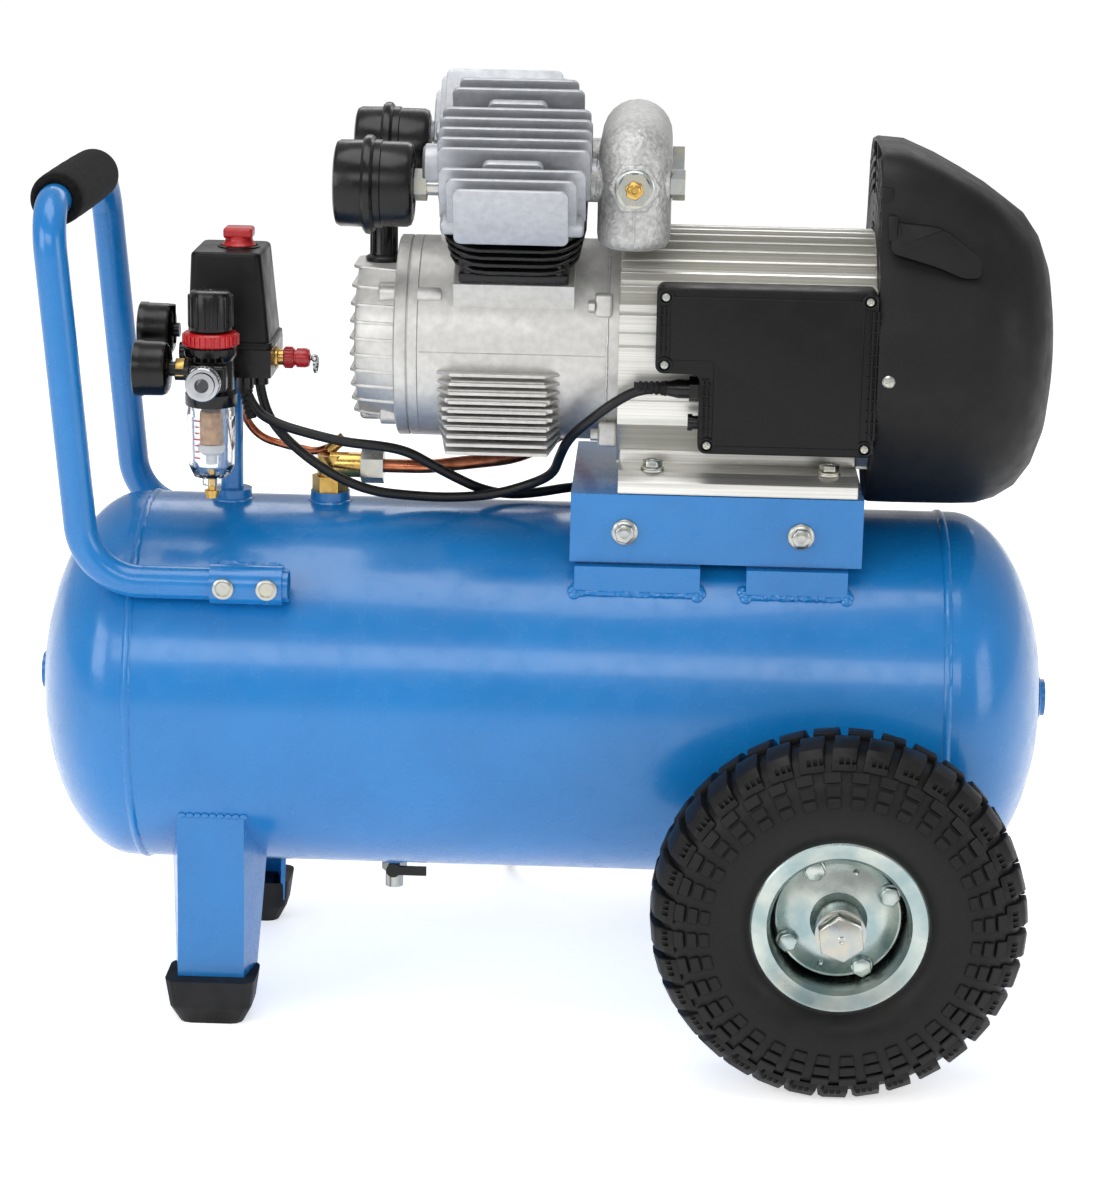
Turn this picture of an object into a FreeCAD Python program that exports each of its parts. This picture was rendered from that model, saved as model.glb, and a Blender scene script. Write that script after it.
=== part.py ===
import FreeCAD, Part
import math
import os

# Portable belt-free air compressor: a V-twin pump bolted to a flange motor, on a wheeled receiver.
# X runs along the receiver towards the wheels, +Y is the operator's left, Z is up from the ground.
# Millimetres. The origin is on the ground under the middle of the receiver.

V = FreeCAD.Vector
X = V(1, 0, 0)
Y = V(0, 1, 0)
Z = V(0, 0, 1)

# ---------- driving dimensions ----------
GAP = 0.3                   # clearance between pieces of different bodies that don't bear on each other
RUN = 0.05                  # radial clearance of a running fit
SLIP = 0.2                  # clearance of a loose fit inside one body

TANK_R = 141.0              # receiver outside radius
TANK_WALL = 2.5
TANK_HALF = 300.0           # half length of the rolled shell
TANK_DISH = 81.0            # depth of each dished end
TANK_FLANGE = 9.0           # straight part of each dished end
TANK_Z = 238.0              # height of the receiver's axis
TANK_TOP = TANK_Z + TANK_R
NUB_R = 14.0                # bung in the middle of each end
NUB_OUT = 5.0
BOSS_R = 15.0               # welded bosses for the riser and the check valve
DRAIN_BOSS_R = 13.0

WHEEL_X = 222.0
WHEEL_Y = TANK_R + 70.0     # mid-plane of each wheel
TYRE_R = 134.0
TYRE_W = 86.0
RIM_SEAT_R = 51.0
RIM_FLANGE_R = 64.0
RIM_HALF = 33.0
RIM_T = 2.5
HUB_R = 17.0
HUB_HALF = 41.0
AXLE_R = 10.0
AXLE_AF = 30.0
RIM_BOLT_PCD = 80.0
RIM_BOLTS = 4
BRACKET_END = WHEEL_Y - 55.0
BRACKET_HALF = 24.0         # half side of the square axle bracket
BRACKET_T = 4.0

LEG_X = -241.0
LEG_W = 50.0
LEG_T = 3.0
LEG_Y = TANK_R - 22.0       # web of each leg
LEG_TOE = 5.0               # how far the foot flares out
PAD_H = 36.0
LEG_END_Z = 20.0            # bottom of the steel, inside the rubber pad

TUBE_R = 12.0               # handle tube
TUBE_BORE = TUBE_R - 2.0
HANDLE_Y = TANK_R + TUBE_R - 35.0
SOCKET_Z = TANK_TOP - 38.5
SOCKET_X0 = -239.0
SOCKET_X1 = -186.0
SOCKET_R = TUBE_R + 2.5
HANDLE_END_X = -182.0
HANDLE_LOW_X = -331.0       # corner of the lower bend
HANDLE_TOP_X = -355.0       # corner of the upper bend
HANDLE_TOP_Z = SOCKET_Z + 273.0
HANDLE_LOW_BEND = 45.0
HANDLE_TOP_BEND = 34.0
GRIP_R = TUBE_R + 8.0
GRIP_HALF = 83.0
SCREW_HEAD_R = 7.5

CASE_R = 75.0
CASE_WALL = 7.0
CASE_X0 = -93.0
CASE_X1 = 54.0
RING_X0 = CASE_X0 - 18.0
COVER_X0 = RING_X0 - 31.0
COVER_R = CASE_R - 13.0
MOTOR_X1 = 240.0
MOTOR_R = 78.0
MOTOR_FIN_R = MOTOR_R + 9.0
MOTOR_FINS = 44
FOOT_HALF = MOTOR_R + 16.0
FOOT_X0 = CASE_X1 + 2.0
FOOT_X1 = MOTOR_X1 - 9.0
FOOT_BOLT_X = (FOOT_X0 + 25.0, FOOT_X1 - 21.0)
FOOT_BOLT_Y = FOOT_HALF - 12.0
STATOR_R = MOTOR_R - 8.0
STATOR_X = CASE_X1 + 48.0
STATOR_LEN = MOTOR_X1 - STATOR_X - 48.0
ROTOR_R = 42.0
FAN_R = MOTOR_FIN_R + 5.0
FAN_X = MOTOR_X1 + 22.0
FAN_BLADES = 9

CRADLE_X0 = FOOT_X0 - 34.0
CRADLE_X1 = FOOT_X1 + 5.0
CRADLE_HALF = FOOT_HALF + 1.0
CRADLE_TOP = TANK_TOP + 31.0
CRADLE_LOW = TANK_TOP - 20.0
CRADLE_T = 4.0
CRADLE_BOLT_X = (CRADLE_X0 + 40.0, CRADLE_X1 - 45.0)
CRADLE_BOLT_Z = TANK_TOP + 3.0
KEYHOLE_R = 7.0
BRACE_SPANS = ((CRADLE_X0 + 4.0, CRADLE_X0 + 96.0), (CRADLE_X1 - 84.0, CRADLE_X1 - 10.0))
M8_R = 4.0
M8_AF = 13.0
M8_HEAD = 5.5
WASHER_R = 9.0
WASHER_T = 1.6
FOOT_TOP = CRADLE_TOP + 16.0

SHAFT_Z = CRADLE_TOP + MOTOR_FIN_R + 11.0
SHAFT_R = 12.0

COWL_X1 = MOTOR_X1 + 133.0
COWL_R = MOTOR_FIN_R + 29.0
COWL_T = 3.0
COWL_TOP = SHAFT_Z + COWL_R + 37.0      # top of the air-intake hump
COWL_HUMP = 78.0            # half width of the hump

V_HALF = 30.0               # angle of each cylinder from the vertical, degrees
CRANK_THROW = 19.0
CRANKPIN_R = 10.0
BORE_R = 24.0
BARREL_LOW = CASE_R - 7.0
BARREL_BASE = CASE_R + 8.0
DECK = BARREL_BASE + 54.0   # crank axis to the head joint
ROD_LEN = DECK - 37.0
PISTON_TOP = 17.4           # crown above the gudgeon pin
PISTON_SKIRT = 12.0
GUDGEON_R = 6.0
BARREL_OUT = BORE_R + 6.0
BARREL_FIN_X = 46.0
BARREL_FIN_Y = 44.0
HEAD_TOP = DECK + 50.0
HEAD_HALF = 68.0            # half width of the stack of fins
HEAD_PLATE = 14.0
HEAD_GASKET = 3.0
HEAD_FINS = 12
HEAD_FIN_T = 3.0
HEAD_MID_X = 55.0           # half length of the longest fin
HEAD_BOLT = 34.0
RIGHT_X = -23.0             # plane of the right-hand cylinder
LEFT_X = -37.0

SILENCER_R = 32.0
SILENCER_X0 = -152.0
SILENCER_X1 = -95.0
PORT_L = DECK + 10.0        # distance of the ports from the crank axis, along the cylinder
SPIGOT_R = 7.5
PORT_SHIFT = 9.0            # the heads are one casting, so both ports sit off centre the same way round
COLLECTOR_X = 63.0
COLLECTOR_R = 27.0
COLLECTOR_WALL = 6.0
COLLECTOR_Y = PORT_L * math.sin(math.radians(V_HALF)) + 2.5
COLLECTOR_LOW = SHAFT_Z + PORT_L * math.cos(math.radians(V_HALF)) - 20.3
COLLECTOR_TOP = COLLECTOR_LOW + 40.0
COLLECTOR_BEND = 38.0
PLUG_Z = COLLECTOR_LOW + 19.0

BOX_X0 = CASE_X1 + 27.0
BOX_X1 = MOTOR_X1 - 0.5
BOX_Z0 = SHAFT_Z - 63.0
BOX_Z1 = SHAFT_Z + 57.0
BOX_FRONT = MOTOR_FIN_R + 20.0
BOX_BACK = MOTOR_R + 1.0
BOX_T = 2.5
LID_T = 4.0
NOTCH_X = BOX_X0 + 32.0
NOTCH_Z = SHAFT_Z - 5.0
GLAND_Z = SHAFT_Z - 18.5
BUTTON_Z = SHAFT_Z - 43.0
BUTTON_R = 5.0

RISER_X = -239.0
RISER_R = 8.5
SWITCH_X0 = -269.0
SWITCH_X1 = -205.0
SWITCH_Y0 = -35.0
SWITCH_Y1 = 40.0
SWITCH_Z0 = TANK_TOP + 99.0
SWITCH_Z1 = SWITCH_Z0 + 21.0
SWITCH_TOP = SWITCH_Z1 + 72.0
SWITCH_KNOB = V(-233.0, 2.0, SWITCH_TOP)
KNOB_STEM_R = 8.0
REG_X = -244.0
REG_Y = -75.0
REG_Z = SWITCH_Z0 + 10.0    # axis of the regulator's ports
REG_STEM_R = 12.0
BOWL_DRAIN_R = 3.0
GAUGE_R = 20.5
GAUGE_T = 30.0
VALVE_X = -164.0            # check valve
VALVE_R = 9.0
PIPE_Z = TANK_TOP + 27.5
PIPE_R = 5.25
BLEED_AT = V(-232.0, 15.0, 0.0)
BLEED_R = 3.0
DRAIN_X = -113.0
DRAIN_Z = TANK_Z - TANK_R - 9.0
DRAIN_R = 7.0
PULL_R = 2.0                # stem of the safety valve's ring

CORD_R = 3.75
LEAD_GLAND = V(-217, -4, SWITCH_Z0 - 10)
MAINS_GLAND = V(-226, -21, SWITCH_Z0 - 10)
COIL_Y = TANK_R + 171.0
COIL_AT = V(-70, COIL_Y, 0)
COIL_R_IN = 33.5
COIL_R_OUT = 49.0
COIL_H = 15.0
PLUG_R = 19.0
PLUG_LEN = 56.0
PIN_R = 2.4                 # the plug's two round pins
PIN_GAP = 19.0

nodes = {}


# ---------- building blocks ----------
def box(x0, x1, y0, y1, z0, z1):
    return Part.makeBox(x1 - x0, y1 - y0, z1 - z0, V(x0, y0, z0))


def rod(radius, length, at, along=Z):
    return Part.makeCylinder(radius, length, at, along)


def pipe(outer, inner, length, at, along=Z):
    return rod(outer, length, at, along).cut(rod(inner, length, at, along))


def turn_to(shape, at, along):
    """Move a shape built on Z at the origin so that Z points along `along` at `at`."""
    shape.Placement = FreeCAD.Placement(at, FreeCAD.Rotation(Z, along))
    return shape


def lathe(profile, at, along=Z):
    """Turned solid from (radius, height) points."""
    points = [V(radius, 0, height) for radius, height in profile]
    face = Part.Face(Part.makePolygon(points + [points[0]]))
    return turn_to(face.revolve(V(0, 0, 0), Z, 360), at, along)


def prism(points, direction):
    return Part.Face(Part.makePolygon(points + [points[0]])).extrude(direction)


def hexagon(flats, length, at, along=Z, turn=0.0):
    radius = flats / math.sqrt(3)
    corners = []
    for k in range(6):
        angle = math.radians(60 * k + turn)
        corners.append(V(radius * math.cos(angle), radius * math.sin(angle), 0))
    return turn_to(prism(corners, V(0, 0, length)), at, along)


def join(shapes):
    solid = shapes[0]
    for other in shapes[1:]:
        solid = solid.fuse(other)
    return solid.removeSplitter()


def cut(solid, tools):
    for tool in tools:
        solid = solid.cut(tool)
    return solid


def mirrored(shape):
    """The left-hand copy of a right-hand piece."""
    return shape.mirror(V(0, 0, 0), Y)


def keep(name, *shapes):
    solids = []
    for shape in shapes:
        solids.extend(shape.Solids)
    nodes[name] = solids


def bent(points, radii):
    """Wire of straight runs joined by tangent arcs, one radius for each inner point."""
    edges = []
    start = points[0]
    for k in range(1, len(points) - 1):
        back = (points[k - 1] - points[k]).normalize()
        ahead = (points[k + 1] - points[k]).normalize()
        half = (math.pi - back.getAngle(ahead)) / 2
        reach = radii[k - 1] * math.tan(half)
        first = points[k] + back * reach
        last = points[k] + ahead * reach
        bisector = (back + ahead).normalize()
        middle = points[k] + bisector * (radii[k - 1] / math.cos(half) - radii[k - 1])
        edges.append(Part.LineSegment(start, first).toShape())
        edges.append(Part.Arc(first, middle, last).toShape())
        start = last
    edges.append(Part.LineSegment(start, points[-1]).toShape())
    return Part.Wire(edges)


def tube(points, radii, outer, inner=0.0):
    """Round tube or bar along a bent route."""
    route = bent(points, radii)
    along = (points[1] - points[0]).normalize()
    section = Part.Wire(Part.Circle(points[0], along, outer).toShape())
    solid = route.makePipeShell([section], True, False)
    if inner:
        bore = Part.Wire(Part.Circle(points[0], along, inner).toShape())
        solid = solid.cut(route.makePipeShell([bore], True, False))
    return solid


def cord(name, points):
    """Plain cord: each arc is as large as its two runs allow."""
    radii = []
    for k in range(1, len(points) - 1):
        back = points[k - 1] - points[k]
        ahead = points[k + 1] - points[k]
        half = (math.pi - back.getAngle(ahead)) / 2
        radii.append(0.45 * min(back.Length, ahead.Length) / math.tan(half))
    solid = tube(points, radii, CORD_R)
    length = bent(points, radii).Length
    ratio = solid.Volume / (math.pi * CORD_R ** 2 * length)
    print(name, "length %.0f volume ratio %.4f" % (length, ratio))
    print("  arc radii", " ".join("%.0f" % radius for radius in radii))
    return solid


def cylinder_frame(side, x, distance, across=0.0):
    """Point beside the crank axis: `distance` out along a cylinder, `across` towards the outside."""
    lean = math.radians(V_HALF)
    out = distance * math.sin(lean) + across * math.cos(lean)
    up = distance * math.cos(lean) - across * math.sin(lean)
    return V(x, side * out, SHAFT_Z + up)


def lean_to(shape, side, x):
    """Put a shape built on Z (height above the crank axis, Y outward) on one cylinder."""
    shape.rotate(V(0, 0, 0), X, -side * V_HALF)
    shape.translate(V(x, 0, SHAFT_Z))
    return shape


RIGHT = -1
LEFT = 1
BANKS = ((RIGHT, RIGHT_X), (LEFT, LEFT_X))
tank_body = rod(TANK_R, 4 * TANK_HALF, V(-2 * TANK_HALF, 0, TANK_Z), X)


# ---------- receiver ----------
def vessel(radius, tip):
    """Solid of revolution about X: straight shell, then a quarter ellipse out to the tip."""
    start = TANK_HALF + TANK_FLANGE
    depth = tip - start
    steps = 10
    rim = []
    for k in range(1, steps):
        angle = math.radians(90.0 * k / steps)
        rim.append(V(start + depth * math.sin(angle), 0, radius * math.cos(angle)))
    curve = Part.BSplineCurve()
    curve.interpolate([V(start, 0, radius)] + rim + [V(start + depth, 0, 0)],
                      InitialTangent=V(1, 0, 0), FinalTangent=V(0, 0, -1))
    top = Part.LineSegment(V(0, 0, radius), V(start, 0, radius)).toShape()
    base = Part.LineSegment(V(start + depth, 0, 0), V(0, 0, 0)).toShape()
    back = Part.LineSegment(V(0, 0, 0), V(0, 0, radius)).toShape()
    face = Part.Face(Part.Wire([back, top, curve.toShape(), base]))
    half = face.revolve(V(0, 0, 0), X, 360)
    return half.fuse(half.mirror(V(0, 0, 0), X)).removeSplitter()


def build_tank():
    tip = TANK_HALF + TANK_DISH
    outer = vessel(TANK_R, tip)
    inner = vessel(TANK_R - TANK_WALL, tip - TANK_WALL)
    outer.translate(V(0, 0, TANK_Z))
    inner.translate(V(0, 0, TANK_Z))
    bosses = []
    for x in (RISER_X, VALVE_X):
        bosses.append(rod(BOSS_R, TANK_WALL + 8.5, V(x, 0, TANK_TOP - TANK_WALL - 1)))
    bosses.append(rod(DRAIN_BOSS_R, TANK_WALL + 6.5, V(DRAIN_X, 0, TANK_Z - TANK_R - 5)))
    for end in (-1, 1):
        bosses.append(rod(NUB_R, NUB_OUT + 8, V(end * (tip - 8), 0, TANK_Z), X * end))
    solid = join([outer.cut(inner)] + bosses)
    holes = []
    for x, radius in ((RISER_X, RISER_R), (VALVE_X, VALVE_R)):
        holes.append(rod(radius, 60, V(x, 0, TANK_TOP - 40)))
    holes.append(rod(DRAIN_R, 40, V(DRAIN_X, 0, TANK_Z - TANK_R - 20)))
    keep("tank", cut(solid, holes))


def build_brackets():
    """Everything in folded steel that is welded to the receiver, bar the front legs."""
    pieces = []
    for side in (RIGHT, LEFT):
        saddle = rod(SOCKET_R, SOCKET_X1 - SOCKET_X0, V(SOCKET_X0, side * HANDLE_Y, SOCKET_Z), X)
        inner = HANDLE_Y - SOCKET_R + 3
        web = box(SOCKET_X0 + 4, SOCKET_X1 - 4, TANK_R * 0.5, inner, SOCKET_Z - 8, SOCKET_Z + 8)
        if side == RIGHT:
            web = mirrored(web)
        bore = rod(TUBE_R + SLIP / 4, 4 * LEG_W, V(SOCKET_X0 - LEG_W, side * HANDLE_Y, SOCKET_Z), X)
        socket = join([saddle, web.cut(tank_body)]).cut(bore)
        for x in screw_places():
            socket = socket.cut(rod(M8_R, 40, V(x, side * HANDLE_Y, SOCKET_Z), Y * side))
        pieces.append(socket)
        for x0, x1 in BRACE_SPANS:
            outer = CRADLE_HALF - CRADLE_T - SLIP
            upright = box(x0, x1, outer - CRADLE_T, outer, TANK_Z, CRADLE_TOP - CRADLE_T - 2)
            toe = box(x0, x1, outer - 18, outer + 11, TANK_TOP - 61, CRADLE_LOW - 2)
            brace = join([upright, toe]).cut(tank_body)
            keep_above = box(x0 - 1, x1 + 1, 0, 2 * TANK_R, TANK_TOP - 56, TANK_TOP + TANK_R)
            brace = brace.common(keep_above)
            for x in CRADLE_BOLT_X:
                brace = brace.cut(rod(M8_R + SLIP, 60, V(x, outer - 40, CRADLE_BOLT_Z), Y))
            if side == RIGHT:
                brace = mirrored(brace)
            pieces.append(brace)
        pieces.append(axle_bracket(side))
    keep("tank_brackets", *pieces)


def screw_places():
    quarter = (SOCKET_X1 - SOCKET_X0) / 5
    return (SOCKET_X0 + quarter, SOCKET_X1 - quarter)


def axle_bracket(side):
    """Short square tube out of the receiver's flank, closed by the plate that carries the axle."""
    half = BRACKET_HALF
    outer = box(WHEEL_X - half, WHEEL_X + half, 20, BRACKET_END, TYRE_R - half, TYRE_R + half)
    t = BRACKET_T
    inner = box(WHEEL_X - half + t, WHEEL_X + half - t, 10, BRACKET_END - t,
                TYRE_R - half + t, TYRE_R + half - t)
    solid = outer.cut(inner).cut(tank_body)
    solid = solid.cut(rod(AXLE_R, 60, V(WHEEL_X, BRACKET_END - 40, TYRE_R), Y))
    flank = box(WHEEL_X - 60, WHEEL_X + 60, 60, 2 * TANK_R, 0, TANK_Z)
    solid = max(solid.common(flank).Solids, key=lambda part: part.Volume)
    return solid if side == LEFT else mirrored(solid)


# ---------- front legs ----------
def leg_section(z, web_y, back_y, splay, inset):
    """One level of a leg: narrow web outside, flanges splayed towards the back."""
    half = LEG_W / 2 - inset
    far = back_y - (40 if inset else 0)
    spread = splay * (web_y - inset - far) / (web_y - back_y)
    corners = [V(-half, web_y - inset, z), V(half, web_y - inset, z)]
    corners += [V(half + spread, far, z), V(-half - spread, far, z)]
    return Part.makePolygon(corners + [corners[0]])


def build_legs():
    fold = TANK_Z - TANK_R - 14
    levels = ((LEG_END_Z, LEG_Y + LEG_TOE, LEG_Y - 26, 5.0),
              (fold, LEG_Y, LEG_Y - 42, 9.0),
              (TANK_Z - 55, LEG_Y, LEG_Y - 62, 15.0))
    outer = Part.makeLoft([leg_section(*level, 0) for level in levels], True, True)
    inner = Part.makeLoft([leg_section(*level, LEG_T) for level in levels], True, True)
    leg = outer.cut(inner).cut(tank_body)
    leg = max(leg.Solids, key=lambda part: part.Volume)
    leg.translate(V(LEG_X, 0, 0))
    keep("legs", leg, mirrored(leg))
    top = leg_pad_ring(PAD_H, 34, 24)
    middle = leg_pad_ring(14, 31, 21)
    bottom = leg_pad_ring(0, 24, 15)
    pad = Part.makeLoft([bottom, middle, top], True, True)
    pocket = Part.makeLoft([leg_section(*level, 0) for level in levels[:2]], True, True)
    core = box(-LEG_W / 2 + 4, LEG_W / 2 - 4, LEG_Y - 40, LEG_Y - 2, LEG_END_Z, PAD_H)
    pad = pad.cut(pocket).fuse(core.common(pad).cut(outer.cut(inner)))
    pad = max(pad.Solids, key=lambda part: part.Volume)
    pad.translate(V(LEG_X, 0, 0))
    keep("foot_pads", pad, mirrored(pad))


def leg_pad_ring(z, half_x, half_y):
    """Rounded outline of a rubber pad at one level."""
    centre = LEG_Y - 7
    corner = 9
    points = []
    for k, (sx, sy) in enumerate(((1, 1), (-1, 1), (-1, -1), (1, -1))):
        for step in range(4):
            angle = math.radians(90 * k + 30 * step)
            x = sx * (half_x - corner) + corner * math.cos(angle)
            points.append(V(x, centre + sy * (half_y - corner) + corner * math.sin(angle), z))
    return Part.makePolygon(points + [points[0]])


# ---------- handle ----------
def build_handle():
    points = [V(HANDLE_END_X, -HANDLE_Y, SOCKET_Z), V(HANDLE_LOW_X, -HANDLE_Y, SOCKET_Z),
              V(HANDLE_TOP_X, -HANDLE_Y, HANDLE_TOP_Z), V(HANDLE_TOP_X, HANDLE_Y, HANDLE_TOP_Z),
              V(HANDLE_LOW_X, HANDLE_Y, SOCKET_Z), V(HANDLE_END_X, HANDLE_Y, SOCKET_Z)]
    bends = [HANDLE_LOW_BEND, HANDLE_TOP_BEND, HANDLE_TOP_BEND, HANDLE_LOW_BEND]
    frame = tube(points, bends, TUBE_R, TUBE_BORE)
    screws = []
    for side in (RIGHT, LEFT):
        for x in screw_places():
            at = V(x, side * (HANDLE_Y + TUBE_R - 4), SOCKET_Z)
            frame = frame.cut(rod(M8_R, 20, V(x, side * HANDLE_Y, SOCKET_Z), Y * side))
            screws.append(rod(M8_R, 7, at, Y * side))
            screws.append(rod(SCREW_HEAD_R, 3, at + Y * side * 6.6, Y * side))
    keep("handle_tube", frame)
    grip = pipe(GRIP_R, TUBE_R, 2 * GRIP_HALF, V(HANDLE_TOP_X, -GRIP_HALF, HANDLE_TOP_Z), Y)
    keep("handle_grip", grip.makeFillet(5, outer_rims(grip, GRIP_R)))
    return [join([screws[k], screws[k + 1]]) for k in range(0, len(screws), 2)]


def outer_rims(solid, radius):
    """Circular edges of one radius."""
    rims = []
    for edge in solid.Edges:
        if isinstance(edge.Curve, Part.Circle) and abs(edge.Curve.Radius - radius) < 1e-6:
            rims.append(edge)
    return rims


# ---------- wheels ----------
def build_wheel(name, side):
    centre = V(WHEEL_X, side * WHEEL_Y, TYRE_R)
    out = Y * side
    half = TYRE_W / 2
    seat = RIM_SEAT_R
    wall = RIM_FLANGE_R + 1
    side_wall = [(seat, RIM_HALF - 6), (seat + 2, RIM_HALF - 3), (wall, RIM_HALF - 0.5)]
    side_wall += [(TYRE_R - 56, half - 2), (TYRE_R - 42, half), (TYRE_R - 28, half - 2)]
    side_wall += [(TYRE_R - 16, half - 8), (TYRE_R - 7, half - 18), (TYRE_R - 1.5, half - 30)]
    other_wall = [(radius, -height) for radius, height in reversed(side_wall)]
    keep(name + "_tyre", lathe(side_wall + [(TYRE_R, 0)] + other_wall, centre, out))
    barrel = lathe([(RIM_SEAT_R - RIM_T, -RIM_HALF + 5), (RIM_SEAT_R - RIM_T, RIM_HALF - 5),
                    (RIM_FLANGE_R - 2, RIM_HALF), (RIM_FLANGE_R, RIM_HALF - 1),
                    (RIM_SEAT_R + 2, RIM_HALF - 3), (RIM_SEAT_R, RIM_HALF - 6),
                    (RIM_SEAT_R, -RIM_HALF + 6), (RIM_SEAT_R + 2, -RIM_HALF + 3),
                    (RIM_FLANGE_R, -RIM_HALF + 1), (RIM_FLANGE_R - 2, -RIM_HALF)], centre, out)
    disc = lathe([(AXLE_R + RUN, 12), (RIM_SEAT_R - RIM_T + 0.5, -4), (RIM_SEAT_R - RIM_T + 0.5, 0),
                  (AXLE_R + RUN, 16)], centre, out)
    hub = pipe(HUB_R, AXLE_R + RUN, 2 * HUB_HALF, centre - out * HUB_HALF, out)
    rim = join([barrel, disc.cut(rod(AXLE_R + 2, 60, centre - out * 30, out)), hub])
    for k in range(RIM_BOLTS):
        angle = math.radians(90 * k + 27)
        spot = V(math.cos(angle), 0, math.sin(angle)) * (RIM_BOLT_PCD / 2)
        rim = rim.fuse(hexagon(M8_AF, 14, centre + spot - out * 4, out))
    keep(name + "_rim", rim.removeSplitter())
    head = HUB_HALF + WHEEL_Y + GAP
    base = V(WHEEL_X, 0, TYRE_R)
    stub = rod(AXLE_R, head - BRACKET_END + 34, base + out * (BRACKET_END - 32), out)
    washer = rod(18, 3, base + out * head, out)
    bolt = hexagon(AXLE_AF, 12.5, base + out * (head + 3), out)
    inner_nut = hexagon(AXLE_AF, 14, base + out * (BRACKET_END - BRACKET_T - 14), out)
    collar = rod(15, WHEEL_Y - HUB_HALF - BRACKET_END - GAP, base + out * BRACKET_END, out)
    return join([stub, washer, bolt, inner_nut, collar])


# ---------- cradle ----------
def build_cradle():
    outer = box(CRADLE_X0, CRADLE_X1, -CRADLE_HALF, CRADLE_HALF, CRADLE_LOW, CRADLE_TOP)
    inner = box(CRADLE_X0 - 1, CRADLE_X1 + 1, -CRADLE_HALF + CRADLE_T, CRADLE_HALF - CRADLE_T,
                CRADLE_LOW - 1, CRADLE_TOP - CRADLE_T)
    cradle = outer.cut(inner)
    bolts = []
    for x in CRADLE_BOLT_X:
        keyhole = rod(KEYHOLE_R, 2 * CRADLE_HALF + 2, V(x + 1.5, -CRADLE_HALF - 1, CRADLE_BOLT_Z), Y)
        cradle = cradle.cut(keyhole)
        for side in (RIGHT, LEFT):
            face = V(x, side * CRADLE_HALF, CRADLE_BOLT_Z)
            out = Y * side
            washer = rod(WASHER_R, WASHER_T, face, out)
            head = hexagon(M8_AF, M8_HEAD, face + out * WASHER_T, out)
            shank = rod(M8_R, 16, face - out * 14.5, out)
            nut = hexagon(M8_AF, 6.5, face - out * 14.9, out)
            bolts.append(join([washer, head, shank, nut]))
    for x in FOOT_BOLT_X:
        for side in (RIGHT, LEFT):
            at = V(x, side * FOOT_BOLT_Y, FOOT_TOP)
            cradle = cradle.cut(rod(M8_R, 40, at - Z * 40))
            washer = rod(WASHER_R, WASHER_T, at)
            head = hexagon(M8_AF, M8_HEAD, at + Z * WASHER_T)
            shank = rod(M8_R, FOOT_TOP - CRADLE_TOP + 10, at - Z * (FOOT_TOP - CRADLE_TOP + 10 - 1))
            bolts.append(join([washer, head, shank]))
    keep("motor_cradle", cradle)
    return bolts


# ---------- motor ----------
def build_motor():
    length = MOTOR_X1 - CASE_X1
    body = rod(MOTOR_R, length, V(CASE_X1, 0, SHAFT_Z), X)
    fins = []
    for k in range(MOTOR_FINS):
        angle = 360.0 * k / MOTOR_FINS
        fin = box(CASE_X1 + 6, MOTOR_X1 - 4, -1.1, 1.1, MOTOR_R - 2, MOTOR_FIN_R)
        fin.rotate(V(0, 0, 0), X, angle)
        fin.translate(V(0, 0, SHAFT_Z))
        fins.append(fin)
    plate = box(FOOT_X0, FOOT_X1, -FOOT_HALF, FOOT_HALF, CRADLE_TOP + GAP, FOOT_TOP)
    keel = box(FOOT_X0 + 4, FOOT_X1 - 4, -46, 46, CRADLE_TOP + GAP, SHAFT_Z - 40)
    body = body.multiFuse(fins + [plate, keel])
    bore = rod(STATOR_R, length + 2, V(CASE_X1 - 1, 0, SHAFT_Z), X)
    body = body.cut(bore)
    for x in FOOT_BOLT_X:
        for side in (RIGHT, LEFT):
            body = body.cut(rod(M8_R, 40, V(x, side * FOOT_BOLT_Y, FOOT_TOP - 30)))
    lead_way = rod(5, 60, V(BOX_X0 + 69, -MOTOR_FIN_R - 5, SHAFT_Z), Y)
    keep("motor_housing", body.cut(lead_way))
    core = pipe(STATOR_R, ROTOR_R + 0.5, STATOR_LEN, V(STATOR_X, 0, SHAFT_Z), X)
    coil_x = (STATOR_X - 22, STATOR_X + STATOR_LEN)
    coils = [pipe(STATOR_R - 5, ROTOR_R + 4, 22, V(x, 0, SHAFT_Z), X) for x in coil_x]
    keep("stator", join([core] + coils))
    rotor = pipe(ROTOR_R, SHAFT_R, STATOR_LEN, V(STATOR_X, 0, SHAFT_Z), X)
    keep("motor_rotor", rotor)
    shield = pipe(MOTOR_FIN_R - 1, SHAFT_R + RUN, 8, V(MOTOR_X1, 0, SHAFT_Z), X)
    spigot = pipe(STATOR_R - SLIP, STATOR_R - 6, 10, V(MOTOR_X1 - 10, 0, SHAFT_Z), X)
    bearing = pipe(26, SHAFT_R + RUN, 22, V(MOTOR_X1 - 14, 0, SHAFT_Z), X)
    keep("end_shield", join([shield, spigot, bearing]))


def build_fan():
    hub = pipe(20, SHAFT_R, 34, V(FAN_X, 0, SHAFT_Z), X)
    blades = []
    for k in range(FAN_BLADES):
        blade = box(FAN_X + 2, FAN_X + 32, -1.5, 1.5, 18, FAN_R)
        blade.rotate(V(FAN_X + 17, 0, 50), Z, 28)
        blade.rotate(V(0, 0, 0), X, 360.0 * k / FAN_BLADES)
        blade.translate(V(0, 0, SHAFT_Z))
        blades.append(blade)
    disc = pipe(40, SHAFT_R, 3, V(FAN_X, 0, SHAFT_Z), X)
    keep("cooling_fan", join([hub, disc] + blades))


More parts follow.
